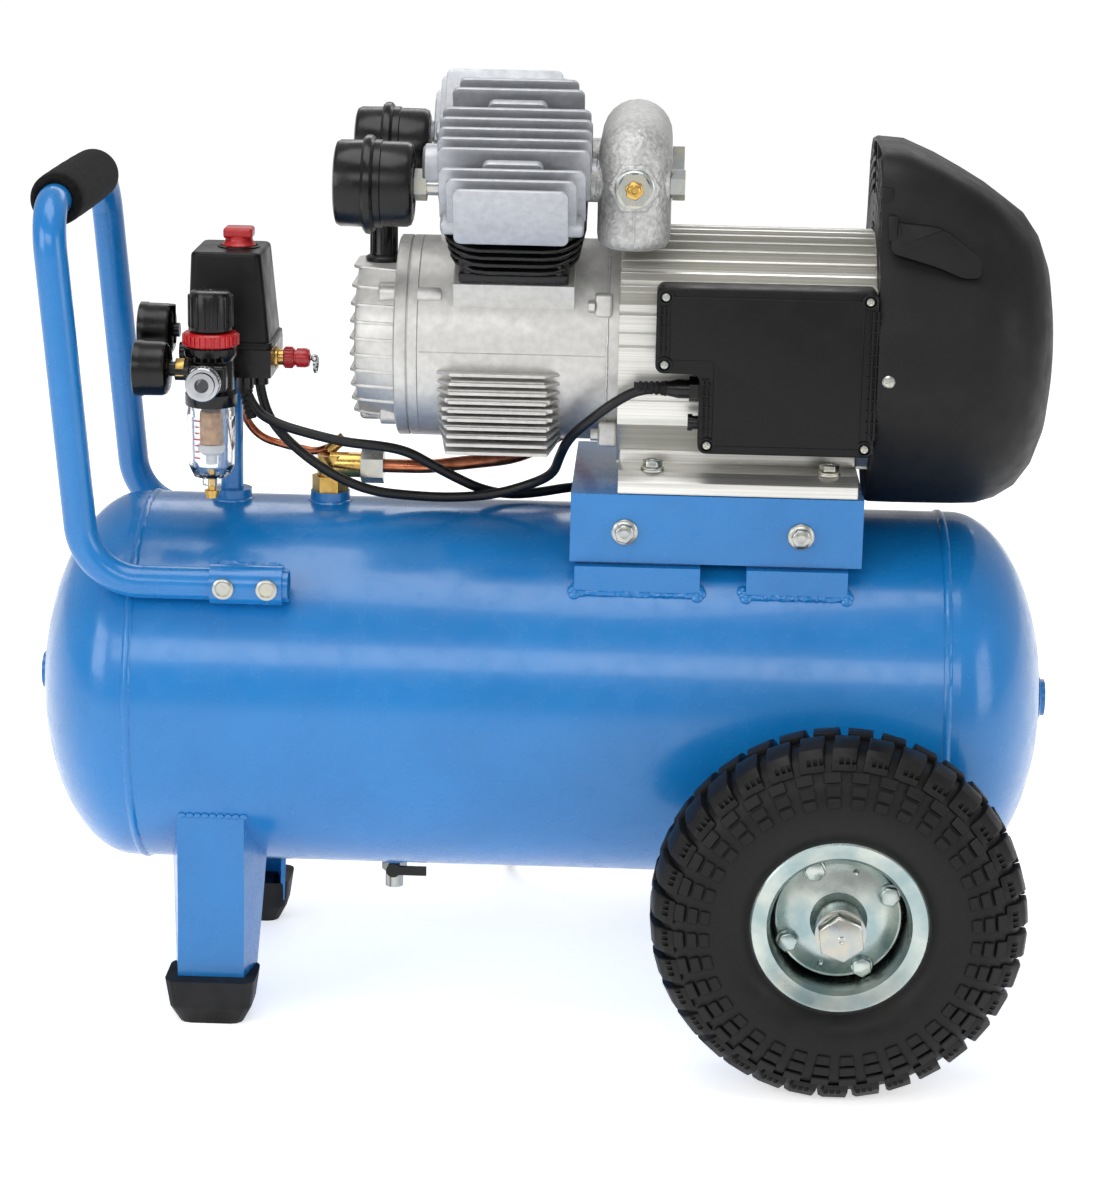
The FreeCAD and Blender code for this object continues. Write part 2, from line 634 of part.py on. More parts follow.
def cowl_shell(offset):
    """The cowl's outline, or its hollow when offset by the wall."""
    radius = COWL_R - offset
    end = COWL_X1 - offset
    drum = lathe([(0, 0), (radius, 0), (radius, end - 28 - MOTOR_X1), (radius - 24, end - MOTOR_X1),
                  (0, end - MOTOR_X1)], V(MOTOR_X1, 0, SHAFT_Z), X)
    half = COWL_HUMP - offset
    top = COWL_TOP - offset
    front = [V(MOTOR_X1, -half - 16, SHAFT_Z), V(MOTOR_X1, half + 16, SHAFT_Z),
             V(MOTOR_X1, half, top - 12), V(MOTOR_X1, half - 16, top),
             V(MOTOR_X1, -half + 16, top), V(MOTOR_X1, -half, top - 12)]
    rear_top = SHAFT_Z + COWL_R - 32 - offset
    rear = [V(end, -half + 4, SHAFT_Z), V(end, half - 4, SHAFT_Z), V(end, half - 20, rear_top - 14),
            V(end, half - 40, rear_top), V(end, -half + 40, rear_top), V(end, -half + 20, rear_top - 14)]
    hump = Part.makeLoft([Part.makePolygon(front + [front[0]]), Part.makePolygon(rear + [rear[0]])],
                         True, True)
    return drum.fuse(hump)


def build_cowl():
    wide = 2 * COWL_R
    behind_face = box(MOTOR_X1 + COWL_T, COWL_X1, -wide, wide, SHAFT_Z - wide, SHAFT_Z + wide)
    shell = cowl_shell(0).cut(cowl_shell(COWL_T).common(behind_face))
    shell = shell.cut(rod(MOTOR_FIN_R + SLIP, 20, V(MOTOR_X1 - 5, 0, SHAFT_Z), X))
    slots = []
    for row in range(7):
        z = SHAFT_Z + MOTOR_FIN_R + 5 + 8.5 * row
        half = COWL_HUMP - 24
        slots.append(box(MOTOR_X1 - 1, MOTOR_X1 + COWL_T + 1, -half, -3, z, z + 5))
        slots.append(box(MOTOR_X1 - 1, MOTOR_X1 + COWL_T + 1, 3, half, z, z + 5))
    keep("fan_cowl", cut(shell, slots).removeSplitter())


def box_outline(inset):
    """Terminal-box outline with the notch for its gland, as a polygon on the front plane."""
    x0 = BOX_X0 + inset
    x1 = BOX_X1 - inset
    z0 = BOX_Z0 + inset
    z1 = BOX_Z1 - inset
    return [V(x0, 0, z1), V(x1, 0, z1), V(x1, 0, z0), V(NOTCH_X + inset, 0, z0),
            V(NOTCH_X + inset, 0, NOTCH_Z + inset), V(x0, 0, NOTCH_Z + inset)]


def build_terminal_box():
    depth = BOX_FRONT - BOX_BACK
    outer = prism(box_outline(0), V(0, depth, 0))
    inner = prism(box_outline(BOX_T), V(0, depth - BOX_T, 0))
    outer.translate(V(0, -BOX_FRONT, 0))
    inner.translate(V(0, -BOX_FRONT, 0))
    motor = rod(MOTOR_FIN_R + SLIP, 300, V(0, 0, SHAFT_Z), X)
    case = outer.cut(inner).cut(motor)
    case = max(case.Solids, key=lambda part: part.Volume)
    gland_y = -(BOX_FRONT - 12)
    holes = [rod(6.0, 10, V(NOTCH_X - 2, gland_y, GLAND_Z), X),
             rod(BUTTON_R + RUN, 10, V(NOTCH_X - 2, gland_y, BUTTON_Z), X)]
    keep("terminal_box", cut(case, holes))
    lid = prism(box_outline(0), V(0, -LID_T, 0))
    lid.translate(V(0, -BOX_FRONT, 0))
    screws = []
    for x, z in lid_screws():
        lid = lid.cut(rod(1.75, 20, V(x, -BOX_FRONT + 5, z), -Y))
        at = V(x, -BOX_FRONT - LID_T, z)
        screws.append(join([rod(3.6, 2, at, -Y), rod(1.75, 4, at, Y)]))
    keep("terminal_box_cover", lid)
    cans = []
    for z in (BOX_Z0 + 17, BOX_Z1 - 17):
        cans.append(rod(11.0, BOX_X1 - NOTCH_X - 44.5, V(NOTCH_X + 23, -(BOX_FRONT - 13.5), z), X))
    keep("capacitors", *cans)
    gland = join([hexagon(16, 7, V(NOTCH_X - 7, gland_y, GLAND_Z), X),
                  lathe([(0, 0), (5.2, 0), (7, 8), (7, 16), (0, 16)], V(NOTCH_X - 23, gland_y, GLAND_Z), X),
                  rod(6, 8, V(NOTCH_X, gland_y, GLAND_Z), X)])
    button = join([rod(BUTTON_R, 9, V(NOTCH_X - 4, gland_y, BUTTON_Z), X),
                   rod(6.2, 3.5, V(NOTCH_X - 7.5, gland_y, BUTTON_Z), X)])
    keep("reset_button", button)
    return gland, screws


def lid_screws():
    edge = 6.0
    return ((BOX_X0 + edge, BOX_Z1 - edge), (BOX_X1 - edge, BOX_Z1 - edge),
            (BOX_X0 + edge, NOTCH_Z + edge), (NOTCH_X + edge, BOX_Z0 + edge),
            (BOX_X1 - edge, BOX_Z0 + edge))


# ---------- pump ----------
def build_crankcase():
    length = CASE_X1 - CASE_X0
    case = rod(CASE_R, length, V(CASE_X0, 0, SHAFT_Z), X)
    pads = []
    for side, x in BANKS:
        pads.append(lean_to(box(-BARREL_FIN_Y, BARREL_FIN_Y, -42, 42, 40, BARREL_BASE), side, x))
    ribs = []
    for k in range(8):
        z = SHAFT_Z - CASE_R + 7 + 6.6 * k
        inset = 0.35 * abs(k - 3.5) * 6
        ribs.append(box(-75 + inset, 8 - inset, -CASE_R - 7, CASE_R + 7, z, z + 2.6))
    case = case.multiFuse(pads + ribs)
    hollow = rod(CASE_R - CASE_WALL, length - CASE_WALL - 30, V(CASE_X0 - 1, 0, SHAFT_Z), X)
    case = case.cut(hollow)
    case = case.cut(rod(STATOR_R, 24, V(CASE_X1 - 22, 0, SHAFT_Z), X))
    case = case.cut(rod(SHAFT_R + RUN, length, V(CASE_X0, 0, SHAFT_Z), X))
    for side, x in BANKS:
        case = case.cut(lean_to(rod(BARREL_OUT, 60, V(0, 0, 40)), side, x))
    keep("crankcase", max(case.Solids, key=lambda part: part.Volume))
    ring = pipe(CASE_R, COVER_R - 8, CASE_X0 - RING_X0, V(RING_X0, 0, SHAFT_Z), X)
    depth = RING_X0 - COVER_X0
    dome = lathe([(SHAFT_R + RUN, 6), (COVER_R - 8, 6), (COVER_R - 6, depth), (COVER_R, depth),
                  (COVER_R - 2, 6), (COVER_R - 8, 0), (SHAFT_R + RUN, 0)], V(COVER_X0, 0, SHAFT_Z), X)
    seat = pipe(24, SHAFT_R + RUN, 26, V(COVER_X0 + 2, 0, SHAFT_Z), X)
    slab = rod(SHAFT_R + 6, 6, V(COVER_X0, 0, SHAFT_Z), X)
    ribs = []
    for k in range(9):
        z = SHAFT_Z + (k - 4) * COVER_R / 5
        half = math.sqrt(COVER_R ** 2 - (abs(k - 4) * COVER_R / 5 + 1.5) ** 2) - 3
        ribs.append(box(COVER_X0 - 4, COVER_X0 + 3, -half, half, z - 1.3, z + 1.3))
    cover = join([ring, dome, seat, slab] + ribs)
    breather_at = V(RING_X0 - 11.5, 0, SHAFT_Z + COVER_R - 8)
    cover = cover.cut(rod(7, 30, breather_at))
    keep("crankcase_cover", cover)
    vent = join([rod(7, 10, breather_at + Z), rod(10.5, 26, breather_at + Z * 11),
                 rod(12, 5, breather_at + Z * 31)])
    keep("breather_tube", vent)


def build_barrels():
    barrels = []
    for side, x in BANKS:
        base = box(-46, 46, -43, 43, BARREL_BASE, BARREL_BASE + 7)
        sleeve = rod(BARREL_OUT - SLIP, DECK - BARREL_LOW, V(0, 0, BARREL_LOW))
        fins = []
        for k in range(6):
            z = BARREL_BASE + 12 + 6.6 * k
            fins.append(rounded_plate(BARREL_FIN_X, BARREL_FIN_Y, 12, z, 2.6))
        deck = rounded_plate(BARREL_FIN_X + 2, BARREL_FIN_Y + 4, 12, DECK - 5, 5)
        core = rod(BARREL_OUT + 4, DECK - BARREL_BASE, V(0, 0, BARREL_BASE))
        barrel = join([base, sleeve, core, deck] + fins)
        barrel = barrel.cut(rod(BORE_R + RUN, 2 * DECK, V(0, 0, 0)))
        for bx, by in head_bolt_places():
            barrel = barrel.cut(rod(M8_R, 60, V(bx, by, DECK - 30)))
        barrels.append(lean_to(barrel, side, x))
    keep("cylinders", *barrels)


def rounded_plate(half_x, half_y, corner, z, thick):
    plate = box(-half_x, half_x, -half_y, half_y, z, z + thick)
    uprights = [edge for edge in plate.Edges if abs(edge.tangentAt(0).z) > 0.9]
    return plate.makeFillet(corner, uprights)


def head_bolt_places():
    reach = HEAD_BOLT
    return ((-reach, -reach), (reach, -reach), (reach, reach), (-reach, reach))


def head_fin_half(k):
    """Half length of one standing fin: the stack has a barrel outline."""
    t = (k - (HEAD_FINS - 1) / 2) / ((HEAD_FINS - 1) / 2)
    return HEAD_MID_X - 16 * abs(t) ** 2.2


def build_heads():
    heads = []
    bolts = []
    for side, x in BANKS:
        plate = box(-48, 48, -50, 50, DECK, DECK + HEAD_GASKET)
        seat = DECK + HEAD_GASKET
        base = box(-HEAD_MID_X + 4, HEAD_MID_X - 4, -56, 56, seat, seat + HEAD_PLATE)
        pieces = [plate, base]
        pitch = (2 * HEAD_HALF - HEAD_FIN_T) / (HEAD_FINS - 1)
        for k in range(HEAD_FINS):
            y = -HEAD_HALF + pitch * k
            half = head_fin_half(k)
            low = DECK + HEAD_GASKET if abs(y) < 58 else DECK + 6
            pieces.append(box(-half, half, y, y + HEAD_FIN_T, low, HEAD_TOP))
        rails = [box(-30, 30, -HEAD_HALF + 1, HEAD_HALF - 1, DECK + 12, DECK + 22)]
        head = join(pieces + rails)
        head = head.cut(rod(SPIGOT_R, 16, V(-HEAD_MID_X - 8, -PORT_SHIFT, PORT_L), X))
        for bx, by in head_bolt_places():
            head = head.cut(rod(M8_R, 60, V(bx, by, DECK - 1)))
            head = head.cut(rod(8, 60, V(bx, by, DECK + HEAD_GASKET + HEAD_PLATE)))
            at = V(bx, by, DECK + HEAD_GASKET + HEAD_PLATE)
            bolt = join([rod(M8_R, 40, at - Z * 39), hexagon(M8_AF, 8, at)])
            bolts.append(lean_to(bolt, side, x))
        heads.append(lean_to(head, side, x))
    keep("cylinder_heads", *heads)
    return bolts


def build_crank():
    x_pin0 = LEFT_X - 8
    x_pin1 = RIGHT_X + 8
    pin = rod(CRANKPIN_R, x_pin1 - x_pin0 + 2, V(x_pin0 - 1, 0, SHAFT_Z + CRANK_THROW), X)
    webs = []
    for x in (x_pin0 - 9, x_pin1):
        disc = rod(44, 9, V(x, 0, SHAFT_Z), X)
        relief = box(x - 1, x + 10, -60, 60, SHAFT_Z + 30, SHAFT_Z + 60)
        webs.append(disc.cut(relief))
    rear = rod(SHAFT_R, x_pin0 - COVER_X0 - 12, V(COVER_X0 + 8, 0, SHAFT_Z), X)
    front = rod(SHAFT_R, FAN_X + 34 - x_pin1 - 4, V(x_pin1 + 4, 0, SHAFT_Z), X)
    keep("crankshaft", join([pin, rear, front] + webs))


def build_pistons():
    rest = CRANK_THROW * math.cos(math.radians(V_HALF))
    rest += math.sqrt(ROD_LEN ** 2 - (CRANK_THROW * math.sin(math.radians(V_HALF))) ** 2)
    rods = []
    for (side, x), name in zip(BANKS, ("right_piston", "left_piston")):
        crown = rod(BORE_R, PISTON_TOP + PISTON_SKIRT, V(0, 0, rest - PISTON_SKIRT))
        inside = rod(BORE_R - 4, PISTON_TOP + PISTON_SKIRT - 6, V(0, 0, rest - PISTON_SKIRT))
        gudgeon = rod(GUDGEON_R, 2 * BORE_R - 2, V(-BORE_R + 1, 0, rest), X)
        piston = join([crown.cut(inside), gudgeon])
        keep(name, lean_to(piston, side, x))
        top = cylinder_frame(side, x, rest)
        low = V(x, 0, SHAFT_Z + CRANK_THROW)
        along = (top - low).normalize()
        eye = rod(CRANKPIN_R + 6, 12, low - X * 6, X)
        small = rod(GUDGEON_R + 4, 12, top - X * 6, X)
        beam = box(-3.5, 3.5, -5, 5, 0, (top - low).Length)
        beam.Placement = FreeCAD.Placement(low, FreeCAD.Rotation(Z, along))
        link = join([eye, small, beam])
        link = link.cut(rod(CRANKPIN_R + RUN, 20, low - X * 10, X))
        rods.append(link.cut(rod(GUDGEON_R + RUN, 20, top - X * 10, X)))
    keep("connecting_rods", *rods)


def build_air_path():
    silencers = []
    fittings = []
    for side, x in BANKS:
        shift = 0.0 if side == RIGHT else 1.0
        x0 = SILENCER_X0 + shift
        length = SILENCER_X1 - SILENCER_X0 - 6 * shift
        at = cylinder_frame(side, x0, PORT_L, -side * PORT_SHIFT)
        r = SILENCER_R
        silencers.append(lathe([(0, 0), (r - 5, 0), (r - 1, 3), (r - 1, 26), (r, 28), (r, 36), (r - 2, 38),
                                (r - 3, length - 3), (r - 7, length), (0, length)], at, X))
        port = x - HEAD_MID_X
        start = x0 + length
        nut = hexagon(20, min(9, port - start - 1), V(start, at.y, at.z), X)
        spigot = rod(SPIGOT_R, port + 8 - start, V(start, at.y, at.z), X)
        fittings.append(join([nut, spigot]))
    keep("intake_silencers", *silencers)
    points = [V(COLLECTOR_X, -COLLECTOR_Y, COLLECTOR_LOW), V(COLLECTOR_X, -COLLECTOR_Y, COLLECTOR_TOP),
              V(COLLECTOR_X, COLLECTOR_Y, COLLECTOR_TOP), V(COLLECTOR_X, COLLECTOR_Y, COLLECTOR_LOW)]
    arch = tube(points, [COLLECTOR_BEND, COLLECTOR_BEND], COLLECTOR_R)
    ends = []
    for side in (RIGHT, LEFT):
        ends.append(Part.makeSphere(COLLECTOR_R, V(COLLECTOR_X, side * COLLECTOR_Y, COLLECTOR_LOW)))
    necks = []
    for side, x in BANKS:
        port = x + HEAD_MID_X
        at = cylinder_frame(side, port, PORT_L)
        necks.append(rod(15, COLLECTOR_X - port, at, X))
        necks.append(rod(21, 7, at, X))
    bore = tube(points, [COLLECTOR_BEND, COLLECTOR_BEND], COLLECTOR_R - COLLECTOR_WALL)
    arch = join([arch] + ends + necks).cut(bore)
    face = V(COLLECTOR_X, -COLLECTOR_Y - COLLECTOR_R, PLUG_Z)
    boss = rod(15, 14, face + Y * 12, -Y)
    keep("air_collector", arch.fuse(boss).cut(rod(8, 40, face + Y * 25, -Y)).removeSplitter())
    fittings.append(join([hexagon(22, 8, face - Y * 2, -Y), rod(8, 12, face + Y * 10, -Y)]))
    for side in (RIGHT, LEFT):
        middle = V(COLLECTOR_X, side * COLLECTOR_Y, PLUG_Z)
        bolt = hexagon(19, 12, middle + X * (COLLECTOR_R - 3), X)
        fittings.append(bolt.cut(rod(COLLECTOR_R, 60, middle - Z * 30)))
    return fittings


# ---------- pipework ----------
def build_pipework():
    body = join([rod(VALVE_R, 22, V(VALVE_X, 0, TANK_TOP - 12)),
                 hexagon(24, 12, V(VALVE_X, 0, TANK_TOP + 7.5)),
                 rod(10, 20, V(VALVE_X, 0, TANK_TOP + 15)),
                 rod(9.5, 25, V(VALVE_X, 0, PIPE_Z), X)])
    elbow = rod(4.5, 16, V(VALVE_X - 2, 6, PIPE_Z + 9), V(1, 0.2, 0.9))
    keep("check_valve", join([body, elbow]).cut(rod(PIPE_R, 30, V(VALVE_X + 10, 0, PIPE_Z), X)))
    nut_x = VALVE_X + 24
    nut = hexagon(24, 17, V(nut_x, 0, PIPE_Z), X).cut(rod(PIPE_R, 60, V(nut_x - 20, 0, PIPE_Z), X))
    nut = nut.cut(rod(9.5, 1.0, V(nut_x, 0, PIPE_Z), X))
    port = V(COLLECTOR_X, COLLECTOR_Y, COLLECTOR_LOW - COLLECTOR_R)
    delivery = tube([V(VALVE_X + 12, 0, PIPE_Z), V(-90, 0, PIPE_Z), V(-20, 24, PIPE_Z + 4.5),
                     V(22, CRADLE_HALF - 7, CRADLE_TOP + 16), V(44, BOX_FRONT + 7, SHAFT_Z - 38),
                     V(60, BOX_FRONT - 3, SHAFT_Z + 22), port + V(0, 2, -26), port],
                    [60, 60, 40, 60, 50, 24], PIPE_R, PIPE_R - 1)
    union = hexagon(19, 12, port - Z * 12).cut(rod(PIPE_R, 40, port - Z * 20))
    low = PIPE_Z + 6.5
    bleed = tube([V(VALVE_X + 12, 9, PIPE_Z + 17), V(-176, 13, low), V(-198, 15, low + 4),
                  V(-221, 15, low + 10), BLEED_AT + Z * (low + 27), BLEED_AT + Z * (SWITCH_Z0 + 1)],
                 [20, 30, 30, 16], BLEED_R, BLEED_R - 1)
    keep("copper_pipes", delivery, bleed)
    return [nut, union]


# ---------- switch, regulator and gauges ----------
def build_switch():
    riser = join([rod(RISER_R, SWITCH_Z0 - TANK_TOP + 14, V(RISER_X, 0, TANK_TOP - 8)),
                  hexagon(22, 10, V(RISER_X, 0, SWITCH_Z0 - 16))])
    keep("riser_pipe", riser.cut(rod(5, 400, V(RISER_X, 0, TANK_TOP - 9))))
    base = box(SWITCH_X0, SWITCH_X1, SWITCH_Y0, SWITCH_Y1, SWITCH_Z0, SWITCH_Z1)
    ports = [rod(9, 17, V(REG_X, SWITCH_Y0 + 2, REG_Z), -Y),
             rod(7, 10, V(SWITCH_X0 + 1, 0, REG_Z + 3), -X)]
    glands = []
    for at in (LEAD_GLAND, MAINS_GLAND):
        glands.append(rod(6.5, SWITCH_Z0 - at.z, at))
    base = join([base] + ports)
    base = cut(base, [rod(RISER_R, 12, V(RISER_X, 0, SWITCH_Z0 - 1)),
                      rod(BLEED_R, 12, BLEED_AT + Z * (SWITCH_Z0 - 1)),
                      rod(7, 14, V(SWITCH_X1 - 12, 0, REG_Z), X)])
    keep("pressure_switch", base)
    low = [V(SWITCH_X0 + 1, SWITCH_Y0 + 1, SWITCH_Z1), V(SWITCH_X1 - 1, SWITCH_Y0 + 1, SWITCH_Z1),
           V(SWITCH_X1 - 1, SWITCH_Y1 - 1, SWITCH_Z1), V(SWITCH_X0 + 1, SWITCH_Y1 - 1, SWITCH_Z1)]
    high = [V(SWITCH_X0 + 4, SWITCH_Y0 + 3, SWITCH_TOP), V(SWITCH_X1 - 8, SWITCH_Y0 + 3, SWITCH_TOP),
            V(SWITCH_X1 - 8, SWITCH_Y1 - 3, SWITCH_TOP), V(SWITCH_X0 + 4, SWITCH_Y1 - 3, SWITCH_TOP)]
    outer = Part.makeLoft([Part.makePolygon(low + [low[0]]), Part.makePolygon(high + [high[0]])], True, True)
    inner = box(SWITCH_X0 + 6.5, SWITCH_X1 - 11, SWITCH_Y0 + 6, SWITCH_Y1 - 6, SWITCH_Z1 - 1, SWITCH_TOP - 3)
    cover = outer.cut(inner).cut(rod(KNOB_STEM_R + RUN, 20, SWITCH_KNOB - Z * 10))
    keep("switch_cover", cover)
    knob = lathe([(0, -14), (KNOB_STEM_R, -14), (KNOB_STEM_R, 0.5), (13, 0.5), (13, 4), (10.5, 7),
                  (11.5, 13), (9, 15), (0, 15)], SWITCH_KNOB)
    keep("switch_knob", knob)
    valve_x = SWITCH_X1 - 10
    body = join([rod(7, 14, V(valve_x, 0, REG_Z), X), hexagon(15, 8, V(SWITCH_X1, 0, REG_Z), X),
                 rod(6, 6, V(SWITCH_X1 + 7, 0, REG_Z), X),
                 rod(7.5, 14, V(SWITCH_X1 + 12, 0, REG_Z), X)])
    stem_x = SWITCH_X1 + 16
    keep("safety_valve", body.cut(rod(PULL_R + RUN, 30, V(stem_x, 0, REG_Z), X)))
    ring = Part.makeTorus(7.5, 1.1, V(SWITCH_X1 + 37, 0, REG_Z), Y)
    keep("safety_ring", join([rod(PULL_R, 13, V(stem_x + 3, 0, REG_Z), X), ring]))
    return glands


def build_regulator():
    at = V(REG_X, REG_Y, REG_Z)
    body = lathe([(0, -23), (19, -23), (19, -14), (17, -10), (17, 12), (19, 15), (19, 21),
                  (REG_STEM_R, 21), (REG_STEM_R, 34), (0, 34)], at)
    arm = rod(11, 14, at + Y * 12, Y)
    port = rod(11, 12, at - Y * 12, -Y)
    side = rod(8, 14, at + V(-12, 0, 2), -X)
    body = join([body, arm, port, side])
    body = body.cut(rod(9, 20, V(REG_X, SWITCH_Y0 - 15, REG_Z), Y))
    keep("regulator_body", body.cut(rod(7, 16, at - Y * 10, -Y)))
    ring = pipe(GAUGE_R, REG_STEM_R, 10, at + Z * 21.3, Z)
    keep("regulator_ring", ring)
    loose = REG_STEM_R + RUN
    knob = lathe([(loose, 31.8), (15.5, 31.8), (16.5, 43), (16.5, 59), (14, 62), (0, 62), (0, 35),
                  (loose, 35)], at)
    keep("regulator_knob", knob)
    tight = BOWL_DRAIN_R + RUN
    bowl = lathe([(17, -23), (17.8, -30), (16.8, -68), (13, -76), (7, -78), (7, -83), (tight, -83),
                  (tight, -76), (11, -73), (14.8, -67), (15.6, -23)], at)
    keep("filter_bowl", bowl)
    element = join([rod(9, 26, at - Z * 54), rod(4, 32, at - Z * 55), rod(12, 3, at - Z * 57)])
    keep("filter_element", element)
    tip = join([rod(BOWL_DRAIN_R, 22, at - Z * 93), rod(4.5, 4, at - Z * 92.5), rod(5.5, 2.5, at - Z * 89.5)])
    keep("bowl_drain", tip)
    gauges = []
    for y, z, x in ((REG_Y, REG_Z + 2, REG_X - 26), (0, REG_Z + 3, SWITCH_X0 - 9)):
        shift = 15 if y == 0 else 0
        case = lathe([(0, 4), (GAUGE_R - 3, 4), (GAUGE_R, 8), (GAUGE_R, GAUGE_T), (GAUGE_R - 2, GAUGE_T),
                      (GAUGE_R - 2, GAUGE_T - 3), (0, GAUGE_T - 3)], V(x, y, z + shift), -X)
        gauges.append(join([case, rod(5, 5, V(x, y, z + shift), -X)] +
                           ([rod(5, 24, V(x - 8, y, z - 5))] if shift else [])))
    keep("pressure_gauges", *gauges)
    face = REG_Y - 24
    inlet = join([rod(7, 14, at - Y * 10, -Y), hexagon(19, 5, V(REG_X, face, REG_Z), -Y),
                  rod(9, 20, V(REG_X, face - 5, REG_Z), -Y)])
    keep("quick_coupler", inlet.cut(rod(5.2, 28, V(REG_X, face - 2, REG_Z), -Y)))
    sleeve = pipe(12.5, 9 + RUN, 13, V(REG_X, face - 9.5, REG_Z), -Y)
    keep("coupler_sleeve", sleeve)


def build_drain():
    stem = join([rod(DRAIN_R, 14, V(DRAIN_X, 0, DRAIN_Z)), hexagon(17, 8, V(DRAIN_X, 0, DRAIN_Z - 5)),
                 rod(DRAIN_R, 15, V(DRAIN_X, 0, DRAIN_Z - 18)), rod(4, 10, V(DRAIN_X, 0, DRAIN_Z - 2), -Y)])
    keep("drain_valve", stem.cut(rod(3, 60, V(DRAIN_X, 0, DRAIN_Z - 20))))
    at = V(DRAIN_X, -10.8, DRAIN_Z - 2)
    boss = rod(5.5, 3, at, -Y)
    arm = box(DRAIN_X, DRAIN_X + 26, -13.8, -10.8, DRAIN_Z - 5.5, DRAIN_Z + 1.5)
    keep("drain_lever", join([boss, arm]))


# ---------- leads ----------
def build_leads():
    top = TANK_TOP
    under = SHAFT_Z - CASE_R
    gland_y = 12 - BOX_FRONT
    lead = [LEAD_GLAND, V(-214, -6, top + 71), V(-201, -11, top + 53), V(-181, -18, top + 37),
            V(-157, -24, top + 23), V(-131, -23, top + 12.5), V(-102, -15, top + 8), V(-70, -13, top + 6.8),
            V(-38, -13, top + 10), V(-10, -18, top + 20), V(7, -30, top + 31), V(12, 27 - CASE_R, top + 49),
            V(19, 5 - CASE_R, top + 67), V(34, -14 - CASE_R, top + 84), V(53, gland_y, GLAND_Z - 10.5),
            V(72, gland_y, GLAND_Z), V(90, gland_y, GLAND_Z)]
    keep("motor_lead", cord("motor_lead", lead))
    back = TANK_R
    mains = [MAINS_GLAND, V(-220, -23, top + 73), V(-202, -26, top + 63), V(-177, -30, under + 3),
             V(-149, -31, under - 3), V(-122, -30, under - 5), V(-103, -24, under - 10),
             V(-86, -17, under - 21), V(-68, -10, under - 32), V(-49, -2, top + 11.5),
             V(-29, 11, top + 5), V(-7, 18, top + 5.5), V(18, 26, top + 9), V(42, 37, top + 8),
             V(66, 46, top + 3.5), V(92, 54, top - 2), V(114, 64, top - 8.5), V(128, 80, top - 18),
             V(133, back - 43, top - 29.5), V(134, back - 22, top - 47), V(126, back - 3, 304),
             V(108, back + 9, 268), V(84, back + 13, 226), V(56, back + 16, 180), V(28, back + 21, 134),
             V(2, back + 31, 90), V(-16, back + 47, 50), V(-26, back + 73, 20), V(-34, back + 103, 6.5),
             V(-35, COIL_Y - 40, 4.2), V(-31, COIL_Y - 20, 4)]
    keep("mains_lead", cord("mains_lead", mains))
    coil = pipe(COIL_R_OUT, COIL_R_IN, COIL_H, COIL_AT)
    keep("mains_coil", coil)
    tip = COIL_AT + V(-10, COIL_R_OUT - 6, 19.2)
    along = -X
    shape = [(0, 0), (5.5, 0), (6.5, 18), (9, 20), (13, 26), (18, 32), (PLUG_R, 40), (PLUG_R, PLUG_LEN),
             (0, PLUG_LEN)]
    face = tip + along * PLUG_LEN
    plug = join([lathe(shape, tip, along), rod(PIN_R, PLUG_R, face + Y * PIN_GAP / 2, along),
                 rod(PIN_R, PLUG_R, face - Y * PIN_GAP / 2, along)])
    keep("mains_plug", plug)


def main():
    os.makedirs("parts", exist_ok=True)
    build_tank()
    build_brackets()
    build_legs()
    screws = build_handle()
    right_axle = build_wheel("right", RIGHT)
    left_axle = build_wheel("left", LEFT)
    keep("wheel_axles", right_axle, left_axle)
    bolts = build_cradle()
    build_motor()
    build_fan()
    build_cowl()
    gland, box_screws = build_terminal_box()
    build_crankcase()
    build_barrels()
    head_bolts = build_heads()
    build_crank()
    build_pistons()
    fittings = build_air_path()
    unions = build_pipework()
    keep("pipe_fittings", *(unions + fittings))
    switch_glands = build_switch()
    keep("cable_glands", gland, *switch_glands)
    build_regulator()
    build_drain()
    build_leads()
    keep("fasteners", *(screws + bolts + head_bolts + box_screws))
    for name, solids in nodes.items():
        shape = solids[0] if len(solids) == 1 else Part.makeCompound(solids)
        good = shape.isValid()
        print("%-20s solids %3d valid %s volume %.0f" % (name, len(solids), good, shape.Volume))
        shape.exportStep("parts/" + name + ".step")
    print(len(nodes), "nodes")


main()
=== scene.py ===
import math
import random

import bmesh
import bpy
from mathutils import Matrix, Vector


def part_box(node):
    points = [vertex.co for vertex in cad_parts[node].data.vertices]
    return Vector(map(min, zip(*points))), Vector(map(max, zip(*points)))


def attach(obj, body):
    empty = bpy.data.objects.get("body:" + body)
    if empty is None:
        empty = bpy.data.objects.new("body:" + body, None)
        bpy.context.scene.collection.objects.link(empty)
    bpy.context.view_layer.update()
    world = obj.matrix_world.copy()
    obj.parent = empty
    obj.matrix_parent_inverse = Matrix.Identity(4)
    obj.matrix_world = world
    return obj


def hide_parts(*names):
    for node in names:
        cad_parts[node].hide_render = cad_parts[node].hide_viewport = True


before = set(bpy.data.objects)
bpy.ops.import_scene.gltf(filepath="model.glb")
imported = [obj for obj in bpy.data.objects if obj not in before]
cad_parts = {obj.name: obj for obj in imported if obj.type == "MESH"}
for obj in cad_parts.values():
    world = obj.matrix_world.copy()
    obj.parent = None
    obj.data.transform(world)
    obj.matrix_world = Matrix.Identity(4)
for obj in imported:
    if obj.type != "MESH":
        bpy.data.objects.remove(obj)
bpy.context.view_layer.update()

# Portable air compressor: pump, motor and fittings on a wheeled receiver.
# Sizes in the dictionaries are millimetres; the scene itself is in metres.
mm = 0.001
random.seed(7)
xAxis, yAxis, zAxis = Vector((1, 0, 0)), Vector((0, 1, 0)), Vector((0, 0, 1))
mirrorY = Matrix.Scale(-1, 4, yAxis)


